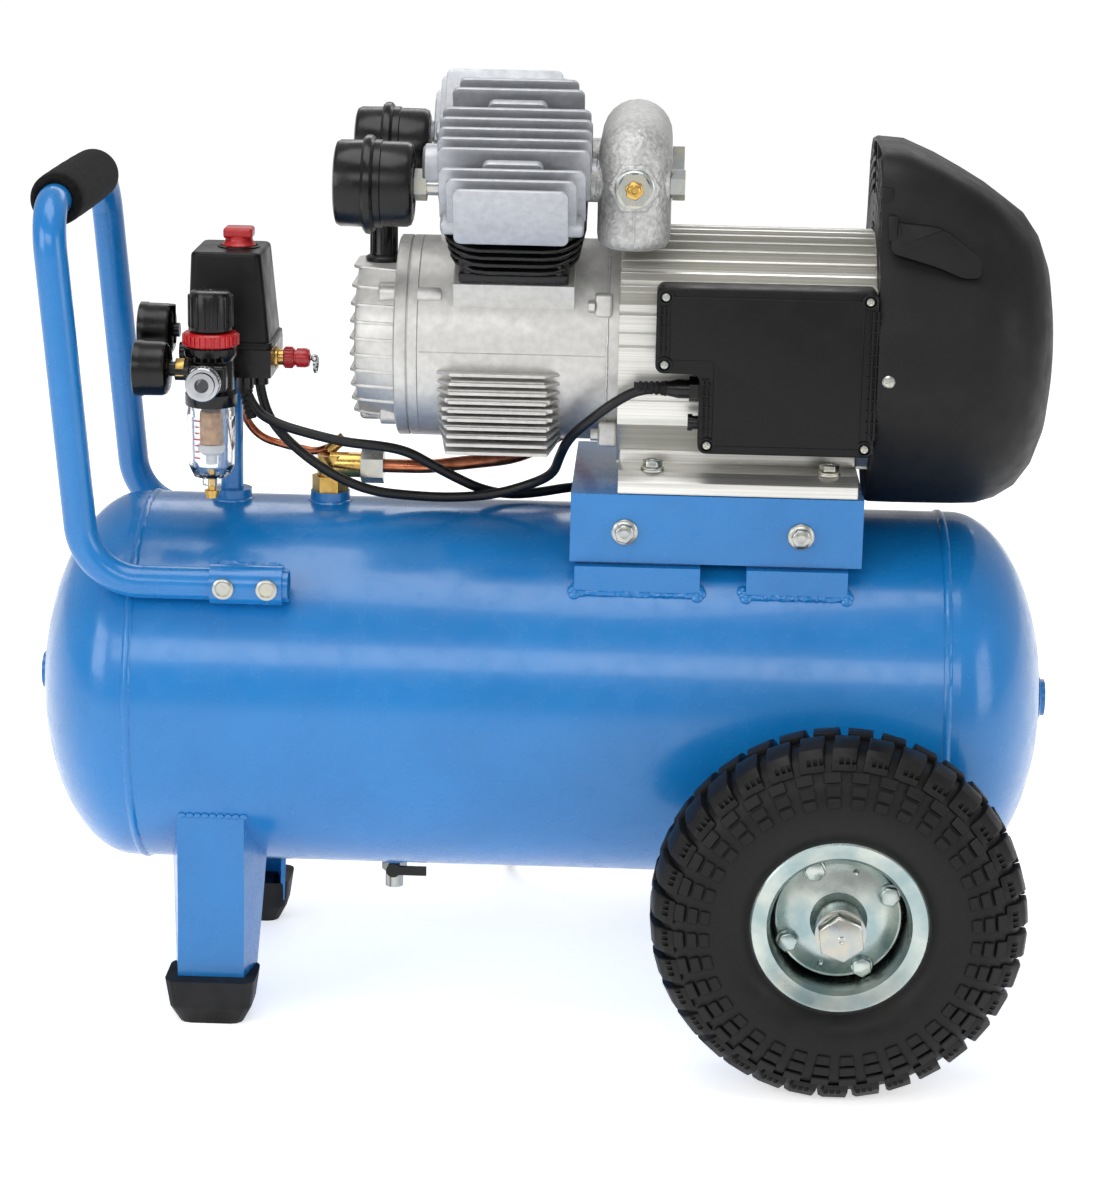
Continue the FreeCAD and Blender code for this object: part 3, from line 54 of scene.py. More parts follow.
# tools shared by all pieces

def startFresh():
    if bpy.context.object and bpy.context.object.mode != "OBJECT":
        bpy.ops.object.mode_set(mode="OBJECT")
    bpy.ops.object.select_all(action="DESELECT")


def onlySelect(piece):
    startFresh()
    piece.select_set(True)
    bpy.context.view_layer.objects.active = piece


def nameActive(name):
    piece = bpy.context.object
    piece.name = name
    piece.data.name = name
    return piece


def turning(along):
    # rotation that takes Z to the given direction
    return Vector(along).to_track_quat("Z", "Y").to_matrix().to_4x4()


def shift(x, y, z):
    return Matrix.Translation(Vector((x, y, z)) * mm)


def spin(degrees, axis="Z"):
    return Matrix.Rotation(math.radians(degrees), 4, axis)


def acrossX(x, z):
    # stands a plate up across the X axis: its outline is then (y, z) and its thickness runs along X
    return Matrix(((0, 0, 1, x * mm), (1, 0, 0, 0), (0, 1, 0, z * mm), (0, 0, 0, 1)))


def moveMesh(piece, matrix):
    # the place goes into the mesh; the object stays at the origin
    piece.data.transform(matrix)
    if matrix.determinant() < 0:
        piece.data.flip_normals()
    piece.data.update()
    return piece


def drawLine(name, points):
    # a chain of vertices, drawn point by point
    startFresh()
    bpy.ops.mesh.primitive_plane_add(size=mm)
    piece = nameActive(name)
    bpy.ops.object.mode_set(mode="EDIT")
    bpy.ops.mesh.select_mode(type="VERT")
    bpy.ops.mesh.select_all(action="SELECT")
    bpy.ops.mesh.merge(type="CENTER")
    here = Vector((0, 0, 0))
    first = True
    for point in points:
        step = Vector(point) * mm - here
        if first:
            bpy.ops.transform.translate(value=step)
        else:
            bpy.ops.mesh.extrude_region_move(TRANSFORM_OT_translate={"value": step})
        here = Vector(point) * mm
        first = False
    return piece


def lathe(name, profile, at=(0, 0, 0), along=zAxis, steps=64):
    # profile of (radius, height), spun round Z and then placed
    piece = drawLine(name, [(radius, 0, height) for radius, height in profile])
    bpy.ops.mesh.select_all(action="SELECT")
    bpy.ops.mesh.spin(steps=steps, angle=math.tau, center=(0, 0, 0), axis=(0, 0, 1))
    bpy.ops.mesh.select_all(action="SELECT")
    bpy.ops.mesh.remove_doubles(threshold=0.02 * mm)
    bpy.ops.mesh.normals_make_consistent(inside=False)
    bpy.ops.object.mode_set(mode="OBJECT")
    return moveMesh(piece, shift(*at) @ turning(along))


def rod(radius, high, low=0):
    # lathe profile of a plain round bar
    return [(0, low), (radius, low), (radius, high), (0, high)]


def rectangle(x0, y0, x1, y1):
    return [(x0, y0), (x1, y0), (x1, y1), (x0, y1)]


def cutFromPlate(name, outline, thickness, corner=0.0, corners=None, matrix=None):
    # outline on XY, its corners rounded, then pulled up along Z
    piece = drawLine(name, [(x, y, 0) for x, y in outline])
    bpy.ops.mesh.select_all(action="SELECT")
    bpy.ops.mesh.edge_face_add()
    if corner:
        if corners is not None:
            mesh = bmesh.from_edit_mesh(piece.data)
            for vertex in mesh.verts:
                near = min(range(len(outline)), key=lambda k: (Vector(outline[k]) * mm - vertex.co.xy).length)
                vertex.select = near in corners
            mesh.select_flush_mode()
            bmesh.update_edit_mesh(piece.data)
        bpy.ops.mesh.bevel(offset=corner * mm, segments=5, affect="VERTICES")
    bpy.ops.mesh.select_all(action="SELECT")
    bpy.ops.mesh.extrude_region_move(TRANSFORM_OT_translate={"value": (0, 0, thickness * mm)})
    bpy.ops.mesh.select_all(action="SELECT")
    bpy.ops.mesh.normals_make_consistent(inside=False)
    bpy.ops.object.mode_set(mode="OBJECT")
    if matrix is not None:
        moveMesh(piece, matrix)
    return piece


def block(name, low, high, soften=0.6, segments=2):
    startFresh()
    size = (Vector(high) - Vector(low)) * mm
    bpy.ops.mesh.primitive_cube_add(size=1, location=(Vector(high) + Vector(low)) * mm / 2, scale=size)
    piece = nameActive(name)
    bpy.ops.object.transform_apply(location=True, rotation=True, scale=True)
    return softenEdges(piece, soften, segments)


def softenEdges(piece, width, segments=2, angle=32, shape=0.5):
    if not width:
        return piece
    onlySelect(piece)
    bevel = piece.modifiers.new("edges", "BEVEL")
    bevel.width = width * mm
    bevel.segments = segments
    bevel.limit_method = "ANGLE"
    bevel.angle_limit = math.radians(angle)
    bevel.profile = shape
    bpy.ops.object.modifier_apply(modifier=bevel.name)
    return piece


def applyModifier(piece, kind, **settings):
    onlySelect(piece)
    modifier = piece.modifiers.new(kind.lower(), kind)
    for key, value in settings.items():
        setattr(modifier, key, value)
    bpy.ops.object.modifier_apply(modifier=modifier.name)
    return piece


def cutAway(piece, cutter):
    applyModifier(piece, "BOOLEAN", object=cutter, operation="DIFFERENCE", solver="EXACT")
    discard(cutter)
    return piece


def copyOf(piece, name, matrix):
    other = piece.copy()
    other.data = piece.data.copy()
    other.name = name
    other.data.name = name
    bpy.context.scene.collection.objects.link(other)
    return moveMesh(other, matrix)


def discard(*spares):
    for piece in spares:
        bpy.data.objects.remove(piece)


def ringOf(piece, count, place):
    # copies of one piece turned round the Z of a place; the first piece is used up
    copies = [copyOf(piece, piece.name, place @ spin(360 * k / count)) for k in range(count)]
    discard(piece)
    return copies


def joinAll(name, pieces):
    startFresh()
    for piece in pieces:
        piece.select_set(True)
    bpy.context.view_layer.objects.active = pieces[0]
    if len(pieces) > 1:
        bpy.ops.object.join()
    return nameActive(name)


def paint(piece, look):
    piece.data.materials.clear()
    piece.data.materials.append(surfaces[look])
    return piece


def settle(piece, look, slot, *nodes, body="frame", smooth=32):
    # the last step of every new piece; look is None where its parts are painted already
    if look:
        paint(piece, look)
    if piece.type == "MESH" and smooth:
        onlySelect(piece)
        bpy.ops.object.shade_smooth_by_angle(angle=math.radians(smooth))
    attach(piece, body)
    if nodes:
        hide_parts(*nodes)
    return piece


def curveAlong(name, points, radius, steps, sides, closed=False):
    # a round section carried along a smooth line; points and radius in metres
    curve = bpy.data.curves.new(name, "CURVE")
    curve.dimensions = "3D"
    curve.bevel_depth = radius
    curve.bevel_resolution = sides
    curve.use_fill_caps = True
    spline = curve.splines.new("NURBS")
    spline.points.add(len(points) - 1)
    for spot, point in zip(spline.points, points):
        spot.co = (*point, 1)
    spline.order_u = 3
    spline.use_endpoint_u = not closed
    spline.use_cyclic_u = closed
    spline.resolution_u = steps
    piece = bpy.data.objects.new(name, curve)
    bpy.context.scene.collection.objects.link(piece)
    return piece


def bentRod(name, points, radius, closed=False, steps=8, sides=4):
    # the same in millimetres, made mesh at once
    onlySelect(curveAlong(name, [Vector(point) * mm for point in points], radius * mm, steps, sides,
        closed=closed))
    bpy.ops.object.convert(target="MESH")
    return nameActive(name)


def hexBar(name, flats, length, chamfer=0.8, at=(0, 0, 0), along=zAxis, turn=0.0):
    # hexagon bar with the corners of its top turned off, as on a bolt head or a nut
    startFresh()
    radius = flats / math.sqrt(3)
    bpy.ops.mesh.primitive_cylinder_add(vertices=6, radius=radius * mm, depth=length * mm,
        location=(0, 0, length / 2 * mm), end_fill_type="NGON")
    piece = nameActive(name)
    bpy.ops.object.transform_apply(location=True, rotation=True, scale=True)
    bpy.ops.object.mode_set(mode="EDIT")
    mesh = bmesh.from_edit_mesh(piece.data)
    for face in mesh.faces:
        face.select = face.normal.z > 0.9
    bmesh.update_edit_mesh(piece.data)
    bpy.ops.mesh.inset(thickness=chamfer * 1.3 * mm)
    bpy.ops.transform.translate(value=(0, 0, chamfer * 0.8 * mm))
    bpy.ops.mesh.select_all(action="SELECT")
    bpy.ops.transform.resize(value=(1, 1, length / (length + chamfer * 0.8)), center_override=(0, 0, 0))
    bpy.ops.object.mode_set(mode="OBJECT")
    softenEdges(piece, 0.25, 1)
    return moveMesh(piece, shift(*at) @ turning(along) @ spin(turn))


# surfaces

def hexColour(code):
    parts = [int(code[k:k + 2], 16) / 255 for k in (1, 3, 5)]
    return [c / 12.92 if c <= 0.04045 else ((c + 0.055) / 1.055) ** 2.4 for c in parts] + [1.0]


def addNode(tree, kind, settings=None, links=None):
    node = tree.nodes.new(kind)
    for key, value in (settings or {}).items():
        if isinstance(key, int) or key in node.inputs:
            node.inputs[key].default_value = value
        else:
            setattr(node, key, value)
    for key, source in (links or {}).items():
        tree.links.new(source, node.inputs[key])
    return node


def newSurface(key, name, tones, skin, detail=3.0, wearScale=60.0, stretch=None, **shaderSettings):
    # tones: two colours and the scale of their soft patches; skin: scale and depth in millimetres of the fine
    # relief, then the two values between which the roughness wanders; stretch draws all of it out into lines
    material = bpy.data.materials.new(name)
    material.use_nodes = True
    surfaces[key] = material
    tree = material.node_tree
    shader = tree.nodes["Principled BSDF"]
    for setting, value in shaderSettings.items():
        shader.inputs[setting.replace("_", " ")].default_value = value
    coords = addNode(tree, "ShaderNodeTexCoord").outputs["Object"]
    if stretch:
        coords = addNode(tree, "ShaderNodeMapping", {"Scale": stretch}, {"Vector": coords}).outputs[0]
    first, second, scale = tones
    patch = {"From Min": 0.35, "From Max": 0.65}
    cloud = addNode(tree, "ShaderNodeTexNoise", {"Scale": scale, "Detail": 4.0}, {"Vector": coords})
    spread = addNode(tree, "ShaderNodeMapRange", patch, {0: cloud.outputs[0]})
    blend = addNode(tree, "ShaderNodeMix", {"data_type": "RGBA", 6: hexColour(first), 7: hexColour(second)},
        {0: spread.outputs[0]})
    tree.links.new(blend.outputs[2], shader.inputs["Base Color"])
    if skin:
        scale, depth, smooth, rough = skin
        grain = addNode(tree, "ShaderNodeTexNoise", {"Scale": scale, "Detail": detail}, {"Vector": coords})
        relief = addNode(tree, "ShaderNodeBump", {"Strength": 1.0, "Distance": depth * mm},
            {"Height": grain.outputs[0]})
        tree.links.new(relief.outputs[0], shader.inputs["Normal"])
        wear = addNode(tree, "ShaderNodeTexNoise", {"Scale": wearScale, "Detail": 3.0}, {"Vector": coords})
        gloss = addNode(tree, "ShaderNodeMapRange", {**patch, "To Min": smooth, "To Max": rough},
            {0: wear.outputs[0]})
        tree.links.new(gloss.outputs[0], shader.inputs["Roughness"])
    return tree, shader, coords


surfaces = {}

# Gloss enamel sprayed on steel: even azure, clear highlights, a slight orange peel about 2 mm across.
newSurface("blue", "sprayedBlueEnamel", ("#0C6AAC", "#1170B3", 14.0), (420.0, 0.035, 0.20, 0.30), IOR=1.5,
    Coat_Weight=0.2, Coat_Roughness=0.08)

# Black iron casting painted with gloss stove enamel: thick paint over a coarse sand-cast skin.
newSurface("iron", "paintedCastIron", ("#060607", "#0D0D0E", 60.0), (500.0, 0.10, 0.18, 0.36), IOR=1.5,
    Specular_IOR_Level=0.35)

# Closed-cell foam sleeve: matt, dense pores under a millimetre, a little grey on the high spots.
tree, shader, coords = newSurface("foam", "closedCellFoam", ("#060607", "#131314", 260.0), None, IOR=1.45,
    Sheen_Weight=0.03, Sheen_Roughness=0.6, Specular_IOR_Level=0.1)
pores = addNode(tree, "ShaderNodeTexVoronoi", {"Scale": 900.0}, {"Vector": coords})
relief = addNode(tree, "ShaderNodeBump", {"Strength": 0.9, "Distance": 0.3 * mm},
    {"Height": pores.outputs["Distance"]})
tree.links.new(relief.outputs[0], shader.inputs["Normal"])
shader.inputs["Roughness"].default_value = 0.92

# Vulcanised tyre rubber: near black, satin, brownish dust in the low parts.
newSurface("tyre", "vulcanisedRubber", ("#0A0A0B", "#131211", 60.0), (700.0, 0.06, 0.42, 0.58), IOR=1.52,
    Specular_IOR_Level=0.22)

# Moulded rubber of the leg pads: darker and more matt than the tyre.
newSurface("rubber", "mouldedRubber", ("#101011", "#1D1D1E", 40.0), (600.0, 0.05, 0.50, 0.68), IOR=1.52,
    Specular_IOR_Level=0.2)

# Bright zinc plate on turned or pressed steel: silver with a faint blue and yellow cast.
newSurface("zinc", "zincPlatedSteel", ("#A6ABAC", "#B7B4A6", 90.0), (900.0, 0.02, 0.22, 0.34), Metallic=1.0)

# Passivated zinc on the pressed wheel: cloudy silver with a blue-green tint.
newSurface("rim", "passivatedZinc", ("#8FA3A5", "#B9C0BA", 38.0), (350.0, 0.03, 0.20, 0.36), wearScale=35.0,
    Metallic=1.0)

# Chromium plate on small turned parts: dark reflections, hardly any grain.
newSurface("chrome", "chromedSteel", ("#97999C", "#B4B6B8", 60.0), (800.0, 0.01, 0.07, 0.14), Metallic=1.0)

# Die-cast aluminium, shot blasted: pale satin grey with a sandy grain about half a millimetre across.
newSurface("cast", "blastedAluminium", ("#BAB9B6", "#C6C5C2", 160.0), (1500.0, 0.09, 0.40, 0.52),
    Metallic=0.7)

# Sand-cast aluminium with tool marks: coarse skin, bright ridges.
newSurface("sand", "sandCastAluminium", ("#A2A2A1", "#BDBDBB", 260.0), (420.0, 0.9, 0.40, 0.56), detail=5.0,
    Metallic=0.65)

# Fin castings: the same alloy, its colour darkened all over as painted shade for the gaps between the fins;
# slightly violet-grey, finer grain.
newSurface("fins", "finAluminiumPaintedShade", ("#A6A8AD", "#B1B3B7", 180.0), (1300.0, 0.08, 0.42, 0.55),
    Metallic=0.65)

# Extruded aluminium: fine drawing lines along the length.
newSurface("extruded", "extrudedAluminium", ("#C6C5C0", "#DCDBD6", 1.0), (1.6, 0.03, 0.30, 0.46),
    stretch=(4.0, 900.0, 900.0), Metallic=0.9)

# Machined aluminium: bright, with turning marks too fine to count.
newSurface("machined", "machinedAluminium", ("#C6C6C6", "#D6D6D4", 120.0), (1200.0, 0.02, 0.22, 0.34),
    Metallic=1.0)

# Moulded polypropylene of the cowl: charcoal, spark-eroded texture about 0.8 mm, soft sheen.
newSurface("cowl", "texturedPolypropylene", ("#0B0B0C", "#0F0F10", 40.0), (1100.0, 0.09, 0.44, 0.56),
    IOR=1.49, Specular_IOR_Level=0.25)

# Gloss black ABS of the boxes: smooth moulding, faint flow marks.
newSurface("abs", "mouldedBlackAbs", ("#070708", "#0B0B0C", 60.0), (260.0, 0.02, 0.34, 0.46), IOR=1.53,
    Specular_IOR_Level=0.2)

# Glass-filled nylon of the regulator, glands and silencers: satin black with a slightly mottled skin.
newSurface("nylon", "glassFilledNylon", ("#060607", "#0B0B0C", 90.0), (800.0, 0.03, 0.20, 0.34), IOR=1.53,
    Specular_IOR_Level=0.3)

# Red pigmented nylon: moulded, glossy.
newSurface("red", "mouldedRedNylon", ("#A00C12", "#B4151B", 80.0), (500.0, 0.02, 0.24, 0.36), IOR=1.53,
    Subsurface_Weight=0.05)

# Drawn copper tube: warm brown-pink with darker tarnish along the length.
newSurface("copper", "drawnCopper", ("#9A5237", "#C47C5A", 75.0), (500.0, 0.03, 0.24, 0.42), Metallic=1.0)

# Turned brass: yellow, slightly dull in patches.
newSurface("brass", "turnedBrass", ("#B08D4A", "#D0AC66", 85.0), (900.0, 0.02, 0.20, 0.36), Metallic=1.0)

# Blackened forged steel inside the pump.
newSurface("steel", "forgedSteel", ("#5A5A5C", "#7C7C7D", 40.0), (600.0, 0.05, 0.32, 0.48), Metallic=1.0)

# Moulded polycarbonate bowl: clear, with a little unevenness from the mould.
newSurface("clear", "clearPolycarbonate", ("#F2F5F7", "#FBFCFD", 60.0), (90.0, 0.05, 0.02, 0.06), IOR=1.58,
    Transmission_Weight=1.0)

# Sintered bronze element: tan, rough, made of fused grains about 0.5 mm across.
newSurface("sintered", "sinteredBronze", ("#A9794C", "#CF9F6F", 200.0), (1300.0, 0.15, 0.55, 0.75),
    Metallic=0.3)

# White acetal of the filter element's cap and stand.
newSurface("white", "whiteAcetal", ("#DDE1E4", "#ECEFF1", 60.0), (600.0, 0.02, 0.30, 0.42), IOR=1.48)

# PVC cable sheath: black, satin, faint ripple of the cores inside.
newSurface("sheath", "pvcSheath", ("#0D0D0E", "#171718", 60.0), (300.0, 0.05, 0.30, 0.44), IOR=1.52,
    Specular_IOR_Level=0.3)

# Lens of a gauge: clear acrylic over a pale dial.
newSurface("dial", "printedDial", ("#E6E6E2", "#F0F0EC", 40.0), (400.0, 0.01, 0.25, 0.32), IOR=1.49,
    Coat_Weight=1.0, Coat_Roughness=0.03)

# Matt near-white of the studio floor.
newSurface("floor", "paperFloor", ("#F4F4F4", "#F7F7F7", 1.5), (60.0, 0.05, 0.75, 0.85), IOR=1.4,
    Emission_Color=(1, 1, 1, 1), Emission_Strength=0.56)
print("surfaces", len(surfaces))


# camera, light and floor

camera = {"place": (0.08351, -2.36036, 0.91575), "turn": 1.836, "tilt": 75.49, "roll": 1.123, "lens": 95.36}
cameraData = bpy.data.cameras.new("studioCamera")
cameraData.lens = camera["lens"]
cameraData.sensor_width = 36
cameraObject = bpy.data.objects.new("studioCamera", cameraData)
bpy.context.scene.collection.objects.link(cameraObject)
cameraObject.matrix_world = (Matrix.Translation(camera["place"]) @ spin(camera["turn"])
    @ spin(camera["tilt"], "X") @ spin(camera["roll"]))
bpy.context.scene.camera = cameraObject

softboxes = (("topBox", (-0.25, -0.35, 2.3), (0.0, 0.0, 0.4), 1.6, 1.2, 20.0), ("leftBox", (-2.0, -1.7, 1.25),
    (-0.1, 0.0, 0.4), 1.3, 1.3, 20.0), ("rightBox", (2.3, -1.3, 1.0), (0.1, 0.0, 0.4), 1.2, 1.4, 14.0),
    ("frontBox", (-0.3, -3.0, 1.9), (0.0, 0.0, 0.35), 2.4, 0.8, 22.0), ("backBox", (0.2, 2.4, 2.0),
    (0.0, 0.0, 0.35), 2.4, 0.8, 14.0),)
for name, place, target, wide, high, power in softboxes:
    data = bpy.data.lights.new(name, "AREA")
    data.shape = "RECTANGLE"
    data.size, data.size_y, data.energy = wide, high, power
    lamp = bpy.data.objects.new(name, data)
    bpy.context.scene.collection.objects.link(lamp)
    lamp.location = place
    lamp.rotation_mode = "QUATERNION"
    lamp.rotation_quaternion = (Vector(target) - Vector(place)).to_track_quat("-Z", "Y")

world = bpy.data.worlds.new("studio")
bpy.context.scene.world = world
world.use_nodes = True
sky = world.node_tree
seen = addNode(sky, "ShaderNodeLightPath").outputs["Is Camera Ray"]
level = addNode(sky, "ShaderNodeMapRange", {"To Min": 0.50, "To Max": 1.05}, {0: seen})
sky.nodes["Background"].inputs[0].default_value = (1.0, 1.0, 1.0, 1)
sky.links.new(level.outputs[0], sky.nodes["Background"].inputs[1])
bpy.context.scene.view_settings.view_transform = "Standard"

startFresh()
bpy.ops.mesh.primitive_plane_add(size=30, location=(0, 0, 0))
floor = nameActive("studioFloor")
paint(floor, "floor")
print("camera and light ready")


# cords

cords = {"diameter": 0.0075, "motorLength": 0.415, "mainsLength": 2.0, "coilAt": (-0.070, 0.312),
    "coilOut": 0.0495, "coilIn": 0.0345, "pitch": 0.0075}
motorRoute = [(-0.217, -0.004, 0.468), (-0.214, -0.006, 0.450), (-0.201, -0.011, 0.432),
    (-0.181, -0.018, 0.416), (-0.157, -0.024, 0.402), (-0.131, -0.023, 0.3915), (-0.102, -0.015, 0.387),
    (-0.070, -0.013, 0.3858), (-0.038, -0.013, 0.389), (-0.010, -0.018, 0.399), (0.007, -0.030, 0.410),
    (0.012, -0.048, 0.428), (0.019, -0.070, 0.446), (0.034, -0.089, 0.463), (0.053, -0.095, 0.479),
    (0.072, -0.095, 0.4895), (0.090, -0.095, 0.4895)]
mainsRoute = [(-0.226, -0.021, 0.468), (-0.220, -0.023, 0.452), (-0.202, -0.026, 0.442),
    (-0.177, -0.030, 0.436), (-0.149, -0.031, 0.430), (-0.122, -0.030, 0.428), (-0.103, -0.024, 0.423),
    (-0.086, -0.017, 0.412), (-0.068, -0.010, 0.401), (-0.049, -0.002, 0.3905), (-0.029, 0.011, 0.384),
    (-0.007, 0.018, 0.3845), (0.018, 0.026, 0.388), (0.042, 0.037, 0.387), (0.066, 0.046, 0.3825),
    (0.092, 0.054, 0.377), (0.114, 0.064, 0.3705), (0.128, 0.080, 0.361), (0.133, 0.098, 0.3495),
    (0.134, 0.119, 0.332), (0.126, 0.138, 0.304), (0.108, 0.150, 0.268), (0.084, 0.154, 0.226),
    (0.056, 0.157, 0.180), (0.028, 0.162, 0.134), (0.002, 0.172, 0.090), (-0.016, 0.188, 0.050),
    (-0.026, 0.214, 0.020), (-0.034, 0.244, 0.0065), (-0.033, 0.270, 0.0042), (-0.0255, 0.290, 0.004)]


def coilPoint(turns):
    # in along the floor for two turns, up, then out again on top, and over the last turn to the plug
    low, high, top = 0.00375, 0.01125, 0.0192
    startAngle = math.radians(-26)
    radius = cords["coilOut"] - cords["pitch"] * min(turns, 2.0)
    height = low
    if turns > 2.0:
        height = low + (high - low) * min(1.0, (turns - 2.0) / 0.3)
    if turns > 2.3:
        radius = min(cords["coilIn"] + cords["pitch"] * (turns - 2.3), 0.0475)
    if turns > 4.0:
        height = high + (top - high) * min(1.0, (turns - 4.0) / 0.3)
    if turns > 4.15:
        radius = 0.0475 - 0.0045 * (turns - 4.15) / 0.17
    angle = startAngle + math.tau * turns
    x, y = cords["coilAt"]
    return (x + radius * math.cos(angle), y + radius * math.sin(angle), height)


turn = 0.05
while turn < 4.29:
    mainsRoute.append(coilPoint(turn))
    turn += 1 / 16
mainsRoute.append((-0.072, 0.355, 0.0192))
mainsRoute.append((-0.080, 0.355, 0.0192))
motorLead = curveAlong("motorLead", motorRoute, cords["diameter"] / 2, steps=8, sides=5)
mainsLead = curveAlong("mainsLead", mainsRoute, cords["diameter"] / 2, steps=6, sides=5)


def makeRelief(name, at, toward, length=24.0):
    # ribbed rubber sleeve that tapers along the lead
    profile = [(0, 0), (5.6, 0), (5.6, 2)]
    ribs = 5
    for k in range(ribs):
        outer = 5.2 - 0.9 * k / ribs
        z = 2 + (length - 4) * k / ribs
        profile += [(outer, z + 0.4), (outer, z + 2.4), (outer - 0.9, z + 2.7), (outer - 0.9, z + 3.9)]
    profile += [(3.95, length), (0, length)]
    return lathe(name, profile, at, toward, steps=24)


plugSizes = {"entry": (-80, 355, 19.2), "body": 56, "pinGap": 19}


def makePlug():
    # moulded two-pin earthed plug with a waisted grip and a ribbed tail
    s = plugSizes
    x, y, z = s["entry"]
    profile = [(0, 0), (5.2, 0), (5.4, 3), (4.8, 3.6), (4.8, 5), (5.8, 5.5), (5.9, 8.5), (5.2, 9),
        (5.2, 10.5), (6.2, 11), (6.5, 15), (7.2, 18), (9.5, 21), (13.5, 26), (17.6, 31), (18.9, 36), (19, 44),
        (18.6, 45), (19, 46), (19, 54.5), (18, 56), (0, 56)]
    body = lathe("mainsPlugBody", profile, s["entry"], -xAxis, steps=48)
    parts = [paint(body, "nylon")]
    for side in (-1, 1):
        pin = lathe("plugPin", [(0, 0), (2.4, 0), (2.4, 17), (1.6, 19), (0, 19)],
            (x - s["body"], y + side * s["pinGap"] / 2, z), -xAxis, steps=20)
        parts.append(paint(pin, "brass"))
    return settle(joinAll("mainsPlug", parts), None, "black_nylon", "mains_plug")


def makeCoilTie():
    # hook-and-loop strap round the coil
    band = block("coilTie", (-10.5, -7, 0.1), (10.5, 7, 16.2), 1.5, 3)
    cutAway(band, block("coilTieBore", (-9.3, -9, 1.0), (9.3, 9, 15.2), 0))
    moveMesh(band, shift(-70, 312, 0) @ spin(200) @ shift(42, 0, 0))
    return settle(band, "foam", "black_rubber")


mainsPlug = makePlug()
coilTie = makeCoilTie()
motorRelief = settle(makeRelief("motorLeadRelief", (90, -95, 489.5), (-1, 0, 0.02)), "rubber", "black_rubber")
mainsRelief = settle(makeRelief("mainsLeadRelief", (-226, -21, 468.5), (0.2, -0.05, -0.98)), "rubber",
    "black_rubber")
settle(motorLead, "sheath", "pvc_sheath", "motor_lead")
settle(mainsLead, "sheath", "pvc_sheath", "mains_lead", "mains_coil")
print("cords ready")


# CAD nodes that keep their shape

nodeSurfaces = {"blue": ("tank", "tank_brackets", "legs", "handle_tube", "motor_cradle", "riser_pipe"),
    "rubber": ("foot_pads",), "foam": ("handle_grip",), "tyre": ("right_tyre", "left_tyre"),
    "rim": ("right_rim", "left_rim"), "zinc": ("wheel_axles", "fasteners", "pipe_fittings", "drain_valve"),
    "extruded": ("motor_housing",), "steel": ("stator", "motor_rotor", "crankshaft"),
    "cast": ("end_shield", "crankcase", "crankcase_cover"), "nylon": ("cooling_fan", "reset_button",
    "cable_glands", "breather_tube", "intake_silencers", "pressure_switch", "regulator_body",
    "regulator_knob", "pressure_gauges", "drain_lever"), "cowl": ("fan_cowl",), "abs": ("terminal_box",
    "terminal_box_cover", "capacitors", "switch_cover"), "iron": ("cylinders",), "fins": ("cylinder_heads",),
    "machined": ("right_piston", "left_piston", "connecting_rods"), "sand": ("air_collector",),
    "brass": ("check_valve", "safety_valve", "bowl_drain"), "copper": ("copper_pipes",),
    "red": ("switch_knob", "regulator_ring"), "chrome": ("safety_ring", "quick_coupler", "coupler_sleeve"),
    "clear": ("filter_bowl",), "sintered": ("filter_element",),}
for look, nodes in nodeSurfaces.items():
    for node in nodes:
        paint(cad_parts[node], look)

tyreSizes = {"centre": (222, 211, 134), "lugs": 34, "lugLength": 17.5, "blockRows": 36}


def makeTyre():
    # carcass on the lathe, then moulded lugs and rows of sidewall blocks, each modelled once and copied round
    s = tyreSizes
    wall = [(51, 27), (53, 30), (65, 32.5), (69, 37.5), (76, 41), (85, 42.4), (93, 42), (106, 39.4),
        (117, 34), (124.5, 26), (128.3, 14), (129, 0)]
    profile = wall + [(r, -h) for r, h in reversed(wall[:-1])]
    parts = [lathe("tyre", profile + [(51, 27)], steps=96)]
    lug = cutFromPlate("lug", [(117, 35.6), (124, 32.6), (131, 25), (133.6, 15), (134, 3), (127, 3),
        (120, 28)], s["lugLength"], matrix=spin(90, "X") @ shift(0, 0, -s["lugLength"] / 2))
    # the lug leans so that its edges zigzag over the shoulder
    for vertex in lug.data.vertices:
        height = vertex.co.z / mm
        vertex.co.y += (0.0022 if height > 20 else -0.0022) * (1 if height > 30 else 0.6)
    softenEdges(lug, 1.1, 2, angle=20)
    teeth = [block("sipe", (121.5, -6.5 + 4.4 * k, 30.5), (126, -3.4 + 4.4 * k, 35), 0) for k in range(3)]
    cutAway(lug, joinAll("sipes", teeth))
    for k in range(s["lugs"]):
        parts.append(copyOf(lug, "lug", spin(360 * k / s["lugs"])))
        parts.append(copyOf(lug, "lug", spin(360 * (k + 0.5) / s["lugs"]) @ spin(180, "X")))
    discard(lug)
    rows = ((92.5, 99.5, 9.6, 42.3, -5), (101, 108.3, 11.0, 40.9, -16), (109.8, 117.4, 12.4, 37.6, -28))
    for low, high, wide, height, tilt in rows:
        tile = block("sideBlock", (-(high - low) / 2, -wide / 2, -1.6), ((high - low) / 2, wide / 2, 1.3),
            0.7, 1)
        moveMesh(tile, shift((low + high) / 2, 0, height) @ spin(-tilt, "Y"))
        for k in range(s["blockRows"]):
            turn = spin(360 * (k + 0.5) / s["blockRows"])
            parts.append(copyOf(tile, "sideBlock", turn))
            parts.append(copyOf(tile, "sideBlock", turn @ spin(180, "X")))
        discard(tile)
    bead = lathe("beadLine", [(66, 33), (67.2, 34.8), (68.6, 33)], steps=96)
    return joinAll("tyre", parts + [bead])


rimSizes = {"hub": 17, "hubHalf": 41, "boltCircle": 40}


